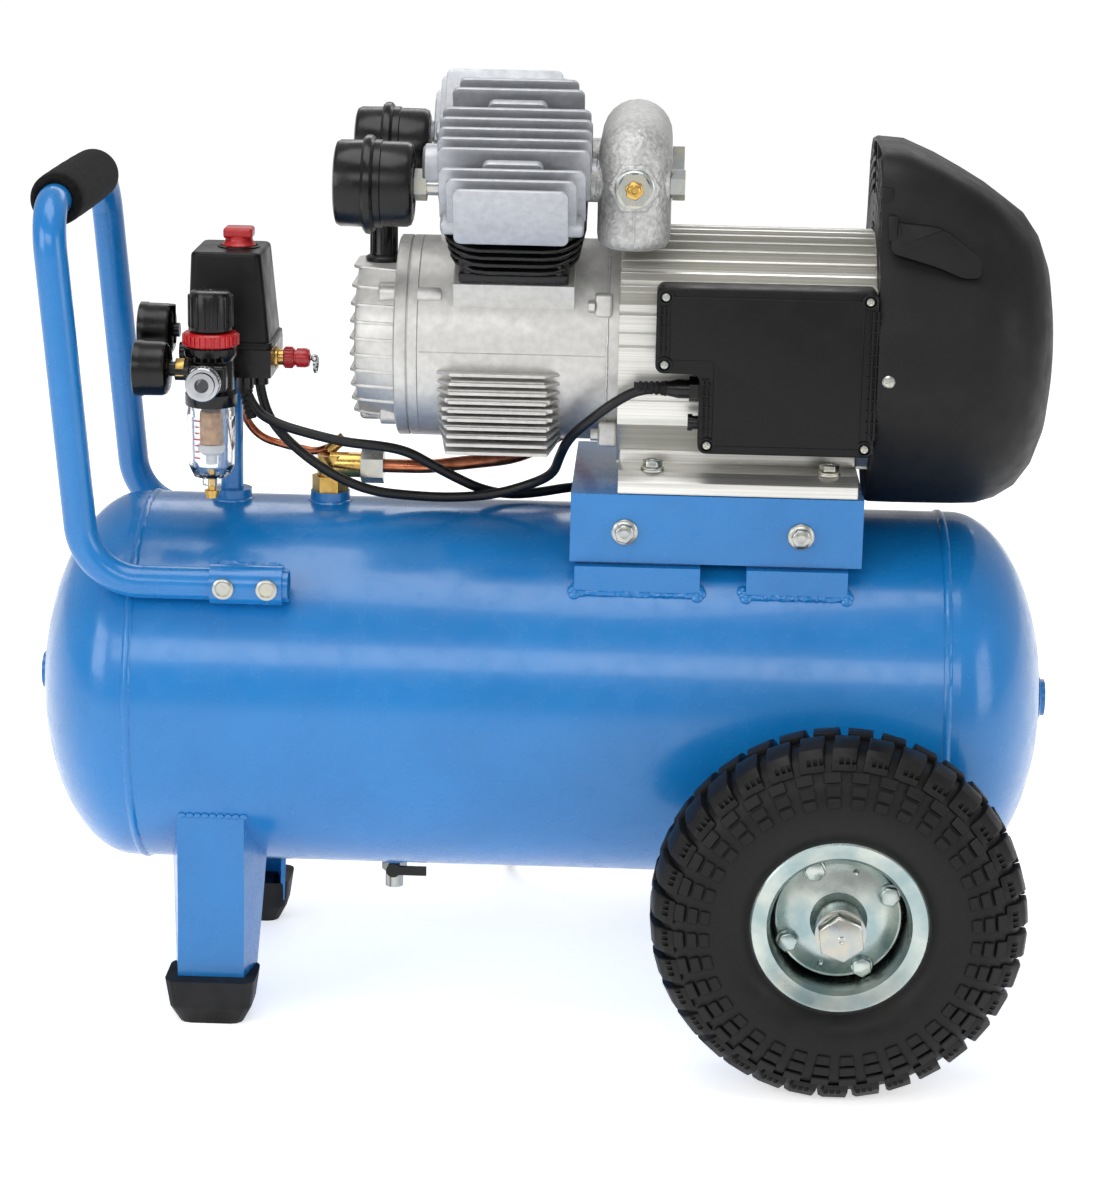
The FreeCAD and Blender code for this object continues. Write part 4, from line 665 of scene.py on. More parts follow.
def makeRim():
    # pressed wheel: rolled flange, dished disc with a crease, welded hub and four bolts
    s = rimSizes
    hub, hubHalf = s["hub"], s["hubHalf"]
    shell = lathe("rim", [(48.5, -28), (49, 27), (51.5, 30.2), (56, 31.2), (60, 32.6), (62.2, 33), (63.8, 32),
        (63.6, 30.8), (61.4, 30.6), (57, 29.4), (52.6, 27.6), (51, 25.5), (51, -25.5), (52.6, -27.6),
        (61.4, -30.6), (63.6, -30.8), (63.8, -32), (62.2, -33), (56, -31.2), (51.5, -30.2), (48.5, -28)],
        steps=96)
    disc = lathe("disc", [(10.3, 15.2), (24, 13.6), (36, 10.4), (43.4, 7.4), (44.6, 8.2), (45.6, 6.6),
        (47, 1), (48.8, -3), (48.8, -5.4), (45.4, -1), (43.6, 4.2), (24, 10.6), (10.3, 12.2), (10.3, 15.2)],
        steps=96)
    tube = lathe("hub", [(10.3, -hubHalf), (hub - 1, -hubHalf), (hub, -hubHalf + 1), (hub, 10), (18.4, 13),
        (20.4, 15.2), (18.2, 17.4), (hub, 19), (hub, hubHalf - 1.2), (hub - 1.2, hubHalf), (10.3, hubHalf),
        (10.3, -hubHalf)], steps=64)
    parts = [shell, disc, tube]
    for k in range(4):
        angle = math.radians(90 * k + 27)
        x, y = s["boltCircle"] * math.cos(angle), s["boltCircle"] * math.sin(angle)
        parts.append(lathe("boltFlange", [(0, 6), (8.2, 6.4), (8.4, 8.6), (7.6, 9.8), (5.5, 10.2), (0, 10.2)],
            (x, y, 0), steps=24))
        parts.append(hexBar("boltHead", 13, 5.5, 0.8, (x, y, 9.6), turn=17 * k))
        parts.append(lathe("boltEnd", [(0, -8), (4, -7.6), (4, 2), (0, 2)], (x, y, 0), steps=16))
    for k in range(2):
        angle = math.radians(180 * k - 18)
        x, y = 36 * math.cos(angle), 36 * math.sin(angle)
        parts.append(lathe("dimple", [(0, 12.6), (1.2, 12.2), (2, 11), (2.8, 9)], (x, y, 0), steps=16))
    return joinAll("rim", parts)


axleFlats = 30


def makeAxle(side):
    # stub axle with its shouldered collar, washers, large hexagon head and inner nut
    x, z = tyreSizes["centre"][0], tyreSizes["centre"][2]
    along, base = (0, side, 0), (x, 0, z)
    stub = lathe("axle", [(0, 122), (9.5, 122), (10, 122.6), (10, 156), (15, 156), (15, 169.6), (10, 169.7),
        (10, 252.3), (18, 252.4), (18, 255.1), (17.6, 255.3), (14.8, 255.4), (14.8, 256.2), (0, 256.2)], base,
        along, steps=48)
    axleHead = hexBar("axleHead", axleFlats, 10.8, 1.4, (x, side * 255.9, z), along, turn=8)
    mark = lathe("centreMark", [(0, 266.7), (1.2, 266.9), (2.2, 267.5), (3, 266.9), (3.2, 266)], base, along,
        steps=20)
    innerNut = hexBar("innerNut", axleFlats, 13.6, 1.2, (x, side * 141.8, z), along, turn=20)
    return [stub, axleHead, mark, innerNut]


def wheelPlace(side):
    x, y, z = tyreSizes["centre"]
    return shift(x, side * y, z) @ turning((0, side, 0)) @ spin(90)


tyre, rim = makeTyre(), makeRim()
for side, name in ((-1, "right"), (1, "left")):
    body = name + "_wheel"
    settle(copyOf(tyre, name + "TyreMoulded", wheelPlace(side)), "tyre", "tyre_rubber", name + "_tyre",
        body=body)
    settle(copyOf(rim, name + "RimPressed", wheelPlace(side)), "rim", "chromated_steel", name + "_rim",
        body=body)
discard(tyre, rim)
axles = joinAll("wheelAxles", makeAxle(-1) + makeAxle(1))
settle(axles, "zinc", "zinc_steel", "wheel_axles")
print("wheels ready")


# pump

pump = {"shaft": 508.0, "lean": 30.0, "banks": ((-1, -23), (1, -37)), "deck": 137.0, "headTop": 187.0,
    "base": 83.0}


def bankPlace(side, x):
    # x along the shaft, y towards the outside of the vee, z along the cylinder
    lean = math.radians(pump["lean"])
    return Matrix(((1, 0, 0, x * mm), (0, side * math.cos(lean), side * math.sin(lean), 0),
        (0, -math.sin(lean), math.cos(lean), pump["shaft"] * mm), (0, 0, 0, 1)))


headSizes = {"halves": (43.5, 48, 0, 53.5, 55, 55, 55, 54.2, 0, 52, 46, 40.5), "tab": 21.5, "pitch": 12.09,
    "thick": 3.0, "corner": 5.0}


def standing(y):
    # turns a flat plate up, its thickness running outwards from y
    return shift(0, y, 0) @ spin(90, "X")


def makeHead():
    s = headSizes
    low, top = pump["deck"] + 1.2, pump["headTop"]
    parts = [block("headBase", (-51, -57, pump["deck"] + 1.5), (51, 57, pump["deck"] + 13), 3, 3)]
    parts.append(block("headGasket", (-47.5, -49.5, pump["deck"] + 0.05), (47.5, 49.5, pump["deck"] + 1.6),
        0.3, 1))
    parts.append(block("headSpine", (-30, -66.5, pump["deck"] + 11), (30, 66.5, pump["deck"] + 25), 2, 2))
    for k, half in enumerate(s["halves"]):
        y = -68 + s["pitch"] * k + s["thick"]
        inside = abs(y - 1.5) < 57
        foot = low + 6 if inside else low + 2
        if half:
            outline = rectangle(-half, foot, half, top)
            corners = (2, 3) if inside else (0, 1, 2, 3)
            fin = cutFromPlate("fin", outline, s["thick"], s["corner"], corners, standing(y))
            parts.append(softenEdges(fin, 0.7, 2))
        else:
            outline = rectangle(-s["tab"], foot, s["tab"], top - 2.5)
            tab = cutFromPlate("tab", outline, 6.0, 5.0, corners=(2, 3), matrix=standing(y + 1.5))
            parts.append(softenEdges(tab, 1.0, 2))
            for end in (-1, 1):
                boss = lathe("boltBoss", [(0, 0), (8.5, 0), (8.5, 27), (7.8, 28), (5.2, 28), (4.8, 24),
                    (0, 24)], (end * 33, y - 2, foot), steps=24)
                parts.append(boss)
    # bolt heads down between the fins
    for x in (-34, 34):
        for y in (-34, 34):
            parts.append(hexBar("headBolt", 13, 8, 0.8, (x, y, pump["deck"] + 13)))
    inlet = lathe("port", [(0, 0), (13, 0), (15.5, 2), (15.5, 16), (0, 16)], (-66, -1, pump["deck"] + 20),
        xAxis, steps=40)
    outlet = lathe("port", [(0, 0), (15.5, 0), (15.5, 12), (14, 14), (0, 14)], (46, -1, pump["deck"] + 10),
        xAxis, steps=40)
    return joinAll("head", parts + [inlet, outlet])


cylinderSizes = {"fins": 6, "pitch": 7.4, "halfX": 52, "halfY": 48, "corner": 28}


def makeCylinder():
    s = cylinderSizes
    base = pump["base"]
    parts = [block("cylinderFoot", (-40, -42, base), (40, 42, base + 9), 2.5, 3)]
    parts.append(lathe("sleeve", rectangle(30, base, 36, 135), steps=48))
    for k in range(s["fins"]):
        grow = 0.55 + 0.45 * min(1, (k + 1) / 4)
        halfX, halfY = 40 + (s["halfX"] - 40) * grow, 40 + (s["halfY"] - 40) * grow
        outline = rectangle(-halfX, -halfY, halfX, halfY)
        place = shift(0, 0, base + 11.5 + s["pitch"] * k)
        fin = cutFromPlate("barrelFin", outline, 3.4, s["corner"], matrix=place)
        parts.append(softenEdges(fin, 1.3, 3))
    deck = cutFromPlate("barrelDeck", rectangle(-48, -48, 48, 48), 5, 16, matrix=shift(0, 0, 132))
    parts.append(softenEdges(deck, 1.2, 3))
    for x in (-33, 33):
        for y in (-33, 33):
            parts.append(lathe("boltColumn", rod(7.5, 133, base + 8), (x, y, 0), steps=20))
    return joinAll("cylinder", parts)


head, cylinder = makeHead(), makeCylinder()
heads, barrels = [], []
for side, x in pump["banks"]:
    heads.append(copyOf(head, "head", bankPlace(side, x)))
    barrels.append(copyOf(cylinder, "cylinder", bankPlace(side, x)))
discard(head, cylinder)
# the heads take the fins surface, whose colour carries painted shade for the gaps between the fins
settle(joinAll("finnedHeads", heads), "fins", "cast_aluminium", "cylinder_heads")
settle(joinAll("finnedCylinders", barrels), "iron", "black_iron", "cylinders")
print("heads and cylinders ready")


coverSizes = {"cone": 68, "nose": 59, "ribs": 10, "from": -111, "flat": 55}


def makeCover():
    # ribbed end cover: two-layer flange with the gasket between, slightly conical cup, ribs across it
    s = coverSizes
    shaft = pump["shaft"]
    flange = lathe("coverFlange", [(54, 0), (74.2, 0), (75, 0.8), (75, 7.2), (74.4, 8), (73, 8), (73, 9),
        (74.8, 9), (75, 9.6), (75, 17), (73.6, 18), (70, 18.2), (54, 18.2), (54, 0)], (-93, 0, shaft), -xAxis,
        steps=96)
    cup = lathe("coverCup", [(50, 0), (s["cone"], 0), (s["cone"] - 1, 5), (s["nose"] + 3, 24),
        (s["nose"], 28.5), (s["nose"] - 4, 30), (20, 30.5), (16, 33), (0, 33), (0, 26), (50, 24), (50, 0)],
        (s["from"], 0, shaft), -xAxis, steps=96)
    # the flat on top that carries the breather
    cutAway(cup, block("coverFlat", (-160, -60, shaft + s["flat"]), (-111.3, 60, shaft + 90), 0))
    parts = [flange, cup]
    for k in range(s["ribs"]):
        z = -54 + 108 * k / (s["ribs"] - 1)
        wide = math.sqrt((s["cone"] + 1.2) ** 2 - z * z)
        narrow = math.sqrt(max((s["nose"] + 1.5) ** 2 - z * z, 60))
        outline = [(s["from"] + 1, -wide), (s["from"] + 1, wide), (-139, narrow + 1.5), (-144.5, narrow - 5),
            (-144.5, 5 - narrow), (-139, -narrow - 1.5)]
        rib = cutFromPlate("coverRib", outline, 2.6, 2.4, corners=(2, 3, 4, 5),
            matrix=shift(0, 0, shaft + z - 1.3))
        parts.append(softenEdges(rib, 0.8, 2))
    for z, y in ((40, -52), (-55, -36), (40, 52), (-55, 36)):
        parts.append(lathe("boltPocket", [(0, -6), (8, -6), (8, 9), (6.6, 9.8), (5.6, 9), (5.6, 3), (0, 3)],
            (-113, y * 0.98, shaft + z * 0.98), -xAxis, steps=24))
        parts.append(hexBar("coverBolt", 8, 6, 0.6, (-117, y * 0.98, shaft + z * 0.98), -xAxis))
    parts.append(block("coverFoot", (-140, -22, shaft - 62), (-111, 22, shaft - 46), 4, 3))
    return joinAll("crankcaseCover", parts)


settle(makeCover(), "cast", "cast_aluminium", "crankcase_cover")


def makeCaseDetails():
    # on the crankcase: seams, dowel bosses, joint lugs with screws, and the side rib blocks
    shaft = pump["shaft"]
    parts = []
    for side in (-1, 1):
        parts.append(lathe("dowelBoss", [(0, 0), (5.2, 0), (5.2, 15), (4.2, 17), (0, 17.4)],
            (-93.5, side * 62.5, shaft + 40.5), xAxis, steps=24))
        parts.append(block("jointLug", (36, side * 66 - 6, shaft + 28), (49, side * 66 + 6, shaft + 45), 2.5,
            3))
        parts.append(hexBar("lugScrew", 8, 5, 0.6, (36.2, side * 70, shaft + 36), -xAxis))
        parts.append(block("footLug", (40, side * 56 - 6, shaft - 70), (54, side * 56 + 6, shaft - 52), 2.5,
            3))
        parts.append(hexBar("footScrew", 8, 6, 0.6, (40.2, side * 56, shaft - 62), -xAxis))
        for k in range(10):
            z = shaft - 74 + 5.9 * k + 0.06 * k * k
            depth = math.sqrt(max(75.0 ** 2 - (z - shaft) ** 2, 0))
            outline = [(-79, 0), (12, 0), (4 - k * 0.3, 84.5 - depth), (-71 + k * 0.3, 84.5 - depth)]
            place = shift(0, side * depth, z) @ (mirrorY if side < 0 else Matrix())
            rib = cutFromPlate("sideRib", outline, 2.6, matrix=place)
            parts.append(softenEdges(rib, 0.8, 2))
    bead = lathe("jointBead", [(74.4, -1.1), (75.9, -0.5), (76, 0.5), (74.4, 1.1), (74.4, -1.1)],
        (45.5, 0, shaft), xAxis, steps=180)
    for vertex in bead.data.vertices:
        vertex.co.x += random.uniform(-0.45, 0.45) * mm
    parts.append(bead)
    parts.append(lathe("caseStep", [(74.6, 0), (75.5, 0.4), (75.5, 7.6), (74.6, 8), (74.6, 0)],
        (46.4, 0, shaft), xAxis, steps=96))
    parts.append(block("partingLine", (-92, -75.4, shaft - 0.35), (45, -74.2, shaft + 0.35), 0.3, 1))
    return joinAll("crankcaseDetails", parts)


settle(makeCaseDetails(), "cast", "cast_aluminium")


def makeBreather():
    # moulded oil breather: flared foot and ribbed tube
    profile = [(0, 0), (12.4, 0), (13.4, 0.6), (13.6, 3), (12, 4.4), (10, 5.2), (9.2, 7), (9, 30),
        (10.4, 30.6), (10.8, 33), (10.4, 35.6), (0, 35.8)]
    foot = (-124, 0, 563.2)
    tube = lathe("breatherTube", profile, foot, zAxis, steps=40)
    rib = block("breatherRib", (8.6, -0.9, 5), (10.4, 0.9, 30.6), 0.3, 1)
    return joinAll("oilBreather", [tube] + ringOf(rib, 8, shift(*foot)))


settle(makeBreather(), "nylon", "black_nylon", "breather_tube")


silencerPlaces = ((-152, -81.3, 630.8), (-151, 65.7, 639.8))


def makeSilencer(x, y, z):
    # two moulded cups held by a raised strap, with the air hole
    profile = [(0, 0), (26, 0), (29.5, 1.2), (31, 4), (31.2, 22), (31.2, 26), (31.6, 26.4), (31.6, 33.5),
        (30.6, 34.2), (30.4, 52), (29, 55), (26, 56.2), (14, 56.4), (13, 56), (0, 56)]
    body = lathe("silencerBody", profile, (x, y, z), xAxis, steps=72)
    strap = lathe("silencerStrap", [(30.4, 20), (33.4, 20.6), (35.2, 22.4), (35.6, 24.6), (35.2, 26.8),
        (33.4, 28.6), (30.4, 29.2), (30.4, 20)], (x, y, z - 0.6), xAxis, steps=72)
    hole = lathe("airHole", rod(5.4, 12), (x + 12, y - 24, z + 21.5), (0, -0.75, 0.66))
    cutAway(body, hole)
    return joinAll("silencer", [body, strap])


silencers, holeScrews = [], []
for x, y, z in silencerPlaces:
    silencers.append(makeSilencer(x, y, z))
    holeScrews.append(lathe("holeScrew", [(0, 0), (4.2, 0), (4.2, 2.6), (2, 3.4), (1, 2.6), (0, 2.6)],
        (x + 12, y - 20.4, z + 18.4), (0, -0.75, 0.66), steps=20))
settle(joinAll("intakeSilencers", silencers), "nylon", "black_nylon", "intake_silencers")
settle(joinAll("silencerScrews", holeScrews), "brass", "brass")
print("pump covers ready")

collectorSizes = {"x": 63, "radius": 26.5, "legY": 76, "bottom": 588, "ports": 635.3}


def makeCollector():
    # sand-cast pipe that bridges the heads, with flat ends and a parting ridge
    s = collectorSizes
    x, legY = s["x"], s["legY"]
    pipe = bentRod("collector", [(x, -legY, 598), (x, -legY, 640), (x, -legY + 2, 655), (x, -38, 656),
        (x, 0, 656), (x, 38, 656), (x, legY - 2, 655), (x, legY, 640), (x, legY, 598)], s["radius"], steps=14,
        sides=10)
    parts = [pipe]
    for side in (-1, 1):
        parts.append(lathe("legEnd", [(0, 0), (17, 0), (23, 2), (26, 6.5), (26.6, 13), (26.5, 18), (0, 18)],
            (x, side * legY, s["bottom"]), zAxis, steps=48))
        parts.append(lathe("neck", [(0, 0), (15, 0), (15, 10), (16.5, 12), (21, 16), (21, 22), (0, 22)],
            (29, side * 73.5, s["ports"]), xAxis, steps=40))
        parts.append(lathe("boltSeat", [(0, 0), (17, 0), (17, 10), (15.5, 12), (0, 12)],
            (76, side * 73.5, s["ports"]), xAxis, steps=40))
    parts.append(hexBar("plugSeat", 33, 16, 1.5, (x, -88.5, 634), -yAxis, turn=30))
    for side in (-1, 1):
        parts.append(block("castSeam", (x - 0.9, side * (legY + 26.2) - 0.9, 594),
            (x + 0.9, side * (legY + 26.2) + 0.9, 650), 0.6, 2))
    return joinAll("airCollector", parts)


settle(makeCollector(), "sand", "cast_aluminium", "air_collector", smooth=40)

washer = lathe("collectorPlug", [(0, 0), (14.2, 0), (14.2, 1.4), (13.4, 2), (11.5, 2.2), (10.6, 1.2),
    (0, 1.2)], (63, -104.4, 634), -yAxis, steps=40)
settle(washer, "zinc", "zinc_steel")
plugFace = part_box("pipe_fittings")[0][1] / mm
brassPlug = joinAll("collectorBrassPlug", [hexBar("brassHex", 12, 2.6, 0.7, (63, plugFace + 0.1, 634), -yAxis,
    turn=12), lathe("brassCentre", [(0, 0), (4.2, 0), (4.2, 1.4), (3.6, 1.8), (2.2, 1.8), (1.6, 0.4),
    (0, 0.4)], (63, plugFace - 2.6, 634), -yAxis, steps=24)])
settle(brassPlug, "brass", "brass")


motorSizes = {"from": 54, "to": 240, "finPitch": 7.6, "finRadius": 87, "root": 78.6}


def makeMotor():
    # extruded housing: fins over the top, stepped flats down the sides
    s = motorSizes
    shaft = pump["shaft"]
    half = []
    for k in range(8):
        for shift, radius in ((-0.9, s["root"]), (-0.65, s["finRadius"]), (0.65, s["finRadius"]),
                (0.9, s["root"])):
            angle = math.radians(s["finPitch"] * k + shift)
            half.append((radius * math.sin(angle), radius * math.cos(angle)))
    half += [(72, 41), (78, 39), (78, 34), (83.5, 32), (83.5, 20), (79, 18), (79, 10), (82, 8), (82, -30),
        (79, -31.5), (79, -38), (74, -50), (62, -60), (50, -82), (50, -84)]
    start = half[2:]
    outline = start + [(-y, z) for y, z in reversed(start)]
    body = cutFromPlate("motorBody", outline, s["to"] - s["from"], matrix=acrossX(s["from"], shaft))
    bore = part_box("stator")[1][1] / mm + 0.3
    cutAway(body, lathe("motorBore", rod(bore, 260, -5), (40, 0, shaft), xAxis))
    softenEdges(body, 0.35, 1, angle=50)
    foot = cutFromPlate("motorFoot", [(-94, 0), (94, 0), (94, 9), (86, 15.7), (-86, 15.7), (-94, 9)], 175,
        matrix=acrossX(56, 410.3))
    softenEdges(foot, 0.5, 2)
    keel = block("motorKeel", (56, -58, 425), (231, 58, 436), 2, 3)
    return joinAll("motorExtrusion", [body, foot, keel])


settle(makeMotor(), "extruded", "cast_aluminium", "motor_housing", smooth=25)


boxSizes = {"front": -107, "lid": -110.6, "corner": 6, "outline": ((81, 565), (239.5, 565), (239.5, 445),
    (113, 445), (113, 503), (81, 503)), "screws": ((87.5, 558.5), (233, 558.5), (87.5, 509.5), (119.5, 451.5),
    (233, 451.5))}


def uprightPlate(name, outline, y, thickness, corner):
    # plate that stands across Y, its front face at y
    place = Matrix(((1, 0, 0, 0), (0, 0, -1, (y + thickness) * mm), (0, 1, 0, 0), (0, 0, 0, 1)))
    return cutFromPlate(name, outline, thickness, corner, matrix=place)


def makeBoxLid():
    s = boxSizes
    plate = softenEdges(uprightPlate("lidPlate", s["outline"], s["lid"], 3.4, s["corner"]), 1.4, 3)
    raised = [(91, 559), (229.5, 559), (229.5, 451), (123, 451), (123, 513), (91, 513)]
    panel = softenEdges(uprightPlate("lidPanel", raised, s["lid"] - 1.2, 3, 3), 0.9, 3)
    parts = [plate, panel]
    for low, high, x in ((516, 552, 83.4), (458, 500, 115.4), (458, 552, 235.8)):
        for shift in (0.0, 3.4):
            parts.append(block("lip", (x + shift - 1.1, s["lid"] - 1.5, low),
                (x + shift + 1.1, s["lid"] + 1, high), 0.7, 2))
        for k in range(int((high - low) / 8)):
            z = low + 5 + 8.2 * k
            parts.append(block("lipNotch", (x - 2.2, s["lid"] - 1.9, z - 0.5), (x + 5.4, s["lid"], z + 0.5),
                0.2, 1))
    for x, z in s["screws"]:
        parts.append(lathe("screwRing", [(3.8, 0), (5.6, 0), (5.6, 1.8), (5, 2.2), (4.3, 2), (3.8, 0.6),
            (3.8, 0)], (x, s["lid"] + 0.4, z), -yAxis, steps=28))
    return joinAll("terminalLid", parts)


def makeBoxBody():
    s = boxSizes
    rim = uprightPlate("boxRim", s["outline"], s["front"] + 0.3, 28, s["corner"])
    inner = [(84, 562), (236.5, 562), (236.5, 448), (116, 448), (116, 506), (84, 506)]
    cutAway(rim, uprightPlate("boxHollow", inner, s["front"] + 3.3, 40, 4))
    softenEdges(rim, 0.8, 2)
    bore = lathe("boxBore", rod(87.6, 300), (0, 0, pump["shaft"]), xAxis)
    return cutAway(rim, bore)


settle(makeBoxLid(), "abs", "black_abs", "terminal_box_cover")
settle(makeBoxBody(), "abs", "black_abs", "terminal_box")


cowlSizes = {"side": 94, "slope": 0.1135, "stations": ((240.2, 115.4, 152), (243, 116.4, 153.4),
    (262, 116.6, 152), (285, 116.4, 142), (305, 116.2, 131), (322, 115.4, 120), (336, 111, 105),
    (350, 102, 90), (361, 87, 70), (368.5, 67, 40), (372.4, 44, 20))}


def cowlReach(angle, radius, height):
    # how far the wall is from the shaft line, in the direction that leans from straight up by angle
    up, out = math.cos(angle), abs(math.sin(angle))
    if up <= 0.05:
        return radius
    wall = cowlSizes["side"] * min(1.0, radius / 116) ** 1.6 / (out + cowlSizes["slope"] * up)
    hump = (wall ** -7 + (height / up) ** -7) ** (-1 / 7)
    return (radius ** 18 + (hump * min(1.0, up * 6)) ** 18) ** (1 / 18)


def cowlLoop(x, radius, height):
    startFresh()
    bpy.ops.mesh.primitive_circle_add(vertices=120, radius=1, fill_type="NOTHING")
    loop = nameActive("cowlLoop")
    for vertex in loop.data.vertices:
        angle = math.atan2(vertex.co.x, vertex.co.y)
        reach = cowlReach(angle, radius, height)
        vertex.co = Vector((x, reach * math.sin(angle), pump["shaft"] + reach * math.cos(angle))) * mm
    return loop


def makeCowl():
    # moulded hood lofted over its stations, closed behind, then thickened inwards
    shell = joinAll("cowlShell", [cowlLoop(*station) for station in cowlSizes["stations"]])
    bpy.ops.object.mode_set(mode="EDIT")
    bpy.ops.mesh.select_all(action="SELECT")
    bpy.ops.mesh.bridge_edge_loops()
    mesh = bmesh.from_edit_mesh(shell.data)
    for edge in mesh.edges:
        edge.select = edge.is_boundary and edge.verts[0].co.x > 0.37
    bmesh.update_edit_mesh(shell.data)
    bpy.ops.mesh.extrude_edges_move(TRANSFORM_OT_translate={"value": (0.0008, 0, 0)})
    bpy.ops.transform.resize(value=(1, 0.82, 0.82), center_override=(0.373, 0, 0.508))
    bpy.ops.mesh.extrude_edges_move()
    bpy.ops.mesh.merge(type="CENTER")
    bpy.ops.mesh.select_all(action="SELECT")
    bpy.ops.mesh.normals_make_consistent(inside=False)
    bpy.ops.object.mode_set(mode="OBJECT")
    applyModifier(shell, "SOLIDIFY", thickness=3 * mm, offset=-1)
    parts = [shell]
    # arc slats in the front opening, and the two uprights that carry them
    for k in range(8):
        radius = 92 + 8.2 * k
        reach = math.asin(min(0.97, 74 / radius))
        arc = [radius * math.sin(reach * (j / 9 - 1)) for j in range(19)]
        outer = [(y, math.sqrt(radius ** 2 - y * y)) for y in arc if math.sqrt(radius ** 2 - y * y) < 147]
        for piece in ([p for p in outer if p[0] < -3], [p for p in outer if p[0] > 3]):
            if len(piece) < 3:
                continue
            outline = piece + [(y * (1 - 3.2 / radius), z * (1 - 3.2 / radius)) for y, z in reversed(piece)]
            slat = cutFromPlate("slat", outline, 7, matrix=acrossX(239.9, pump["shaft"]))
            parts.append(softenEdges(slat, 0.6, 1))
    for y, low, high in ((0, 592, 659), (-44, 585, 655), (44, 585, 655), (-76, 556, 636), (76, 556, 636)):
        parts.append(block("slatPost", (240.4, y - 2.6, low), (248, y + 2.6, high), 0.8, 2))
    # flange ring round the motor end
    parts.append(lathe("cowlLip", [(93, 0), (114, 0), (115.5, 1.4), (115.5, 4), (93, 4), (93, 0)],
        (240.3, 0, pump["shaft"]), xAxis, steps=96))
    # side scoop with its clip tab, on both sides
    for side in (-1, 1):
        outline = [(247, 613), (280, 610), (287, 607), (311, 590), (312, 576), (300, 575), (280, 583),
            (247, 592)]
        scoop = uprightPlate("scoop", outline, -103, 26, 4)
        for vertex in scoop.data.vertices:
            if vertex.co.y < -0.09:
                lower = (0.614 - vertex.co.z) / 0.04
                vertex.co.y += 0.012 - 0.009 * min(1.0, max(0.0, lower * 1.2))
        softenEdges(scoop, 2.6, 4)
        tab = block("clipTab", (245, -95, 600), (251, -84, 618), 1.2, 2)
        step = block("clipStep", (251, -94, 602), (254, -84, 611), 0.8, 2)
        parts += [moveMesh(piece, mirrorY) if side > 0 else piece for piece in (scoop, tab, step)]
    return joinAll("fanCowl", parts)


settle(makeCowl(), "cowl", "grey_abs", "fan_cowl", smooth=28)
print("motor, box and cowl ready")


fastenerSizes = {"socketX": (-228.4, -196.6), "cradleX": (62, 191), "footX": (81, 210)}


def flangeBolt(at, along, turn, washer):
    # hexagon bolt on a washer, with its forging mark in the middle
    return [lathe("washer", [(0, 0), (washer - 0.4, 0), (washer, 0.4), (washer, 1.6), (washer - 0.5, 2),
        (0, 2)], at, along, steps=32), lathe("flange", [(0, 2), (8.6, 2), (8.8, 2.8), (7, 3.8), (0, 3.8)], at,
        along, steps=32), hexBar("boltHead", 13, 5.2, 0.9, Vector(at) + Vector(along) * 3.2, along, turn),
        lathe("mark", [(0, 8.8), (2.6, 8.8), (3.2, 8.9), (3.4, 8.2)], at, along, steps=20)]


def panScrew(at, along, radius, turn):
    # domed head with a cross recess
    head = lathe("panHead", [(0, 0), (radius, 0), (radius, 0.8), (radius * 0.75, 1.9), (0, 2.3)], at, along,
        steps=24)
    place = shift(*at) @ turning(along) @ spin(turn)
    for quarter in (0, 90):
        cross = block("cross", (-radius * 0.62, -0.45, 1.0), (radius * 0.62, 0.45, 3), 0)
        cutAway(head, moveMesh(cross, place @ spin(quarter)))
    return head


def makeFasteners():
    s = fastenerSizes
    parts = []
    for side in (-1, 1):
        for x in s["socketX"]:
            parts.append(lathe("socketScrew", [(0, -6), (4, -6), (4, 0), (7.4, 0), (7.7, 0.6), (7.7, 2.4),
                (6.6, 3.2), (5.4, 3.3), (5.0, 2.4), (2.4, 2.2), (0, 2.6)], (x, side * 132.2, 340.5),
                (0, side, 0), steps=40))
        for x in s["cradleX"]:
            parts += flangeBolt((x, side * 95.2, 382), (0, side, 0), turn=14 + x, washer=9.6)
        for x in s["footX"]:
            parts += flangeBolt((x, side * 82, 425.8), (0, 0, 1), turn=x, washer=8.6)
            parts.append(lathe("footNut", rod(9, 3), (x, side * 82, 403), (0, 0, 1)))
    for x, z in boxSizes["screws"]:
        parts.append(panScrew((x, boxSizes["lid"] + 0.2, z), -yAxis, 3.5, turn=x))
    parts.append(panScrew((248, -115.6, 502), -yAxis, 4.6, turn=20))
    parts.append(panScrew((248, 115.6, 502), yAxis, 4.6, turn=70))
    return joinAll("machineScrews", parts)


settle(makeFasteners(), "zinc", "zinc_steel", "fasteners")


def weldBead(points, radius, rough=0.5):
    # laid bead: a thin rod whose skin wanders
    bead = bentRod("weld", points, radius, steps=10, sides=3)
    for vertex in bead.data.vertices:
        vertex.co += Vector([random.uniform(-rough, rough) for k in range(3)]) * mm
    return bead


receiver = {"radius": 141, "axis": 238}


def skinPoint(x, angle, out, side):
    # on the receiver's skin, out from it; the angle is measured from straight down, towards the given side
    radius = receiver["radius"] + out
    turned = math.radians(angle)
    return (x, side * radius * math.sin(turned), receiver["axis"] - radius * math.cos(turned))


def weldDrop(profile, at, steps):
    # one lump of weld metal that stands out from the skin
    return lathe("weldDrop", profile, at, (0, at[1], at[2] - receiver["axis"]), steps=steps)


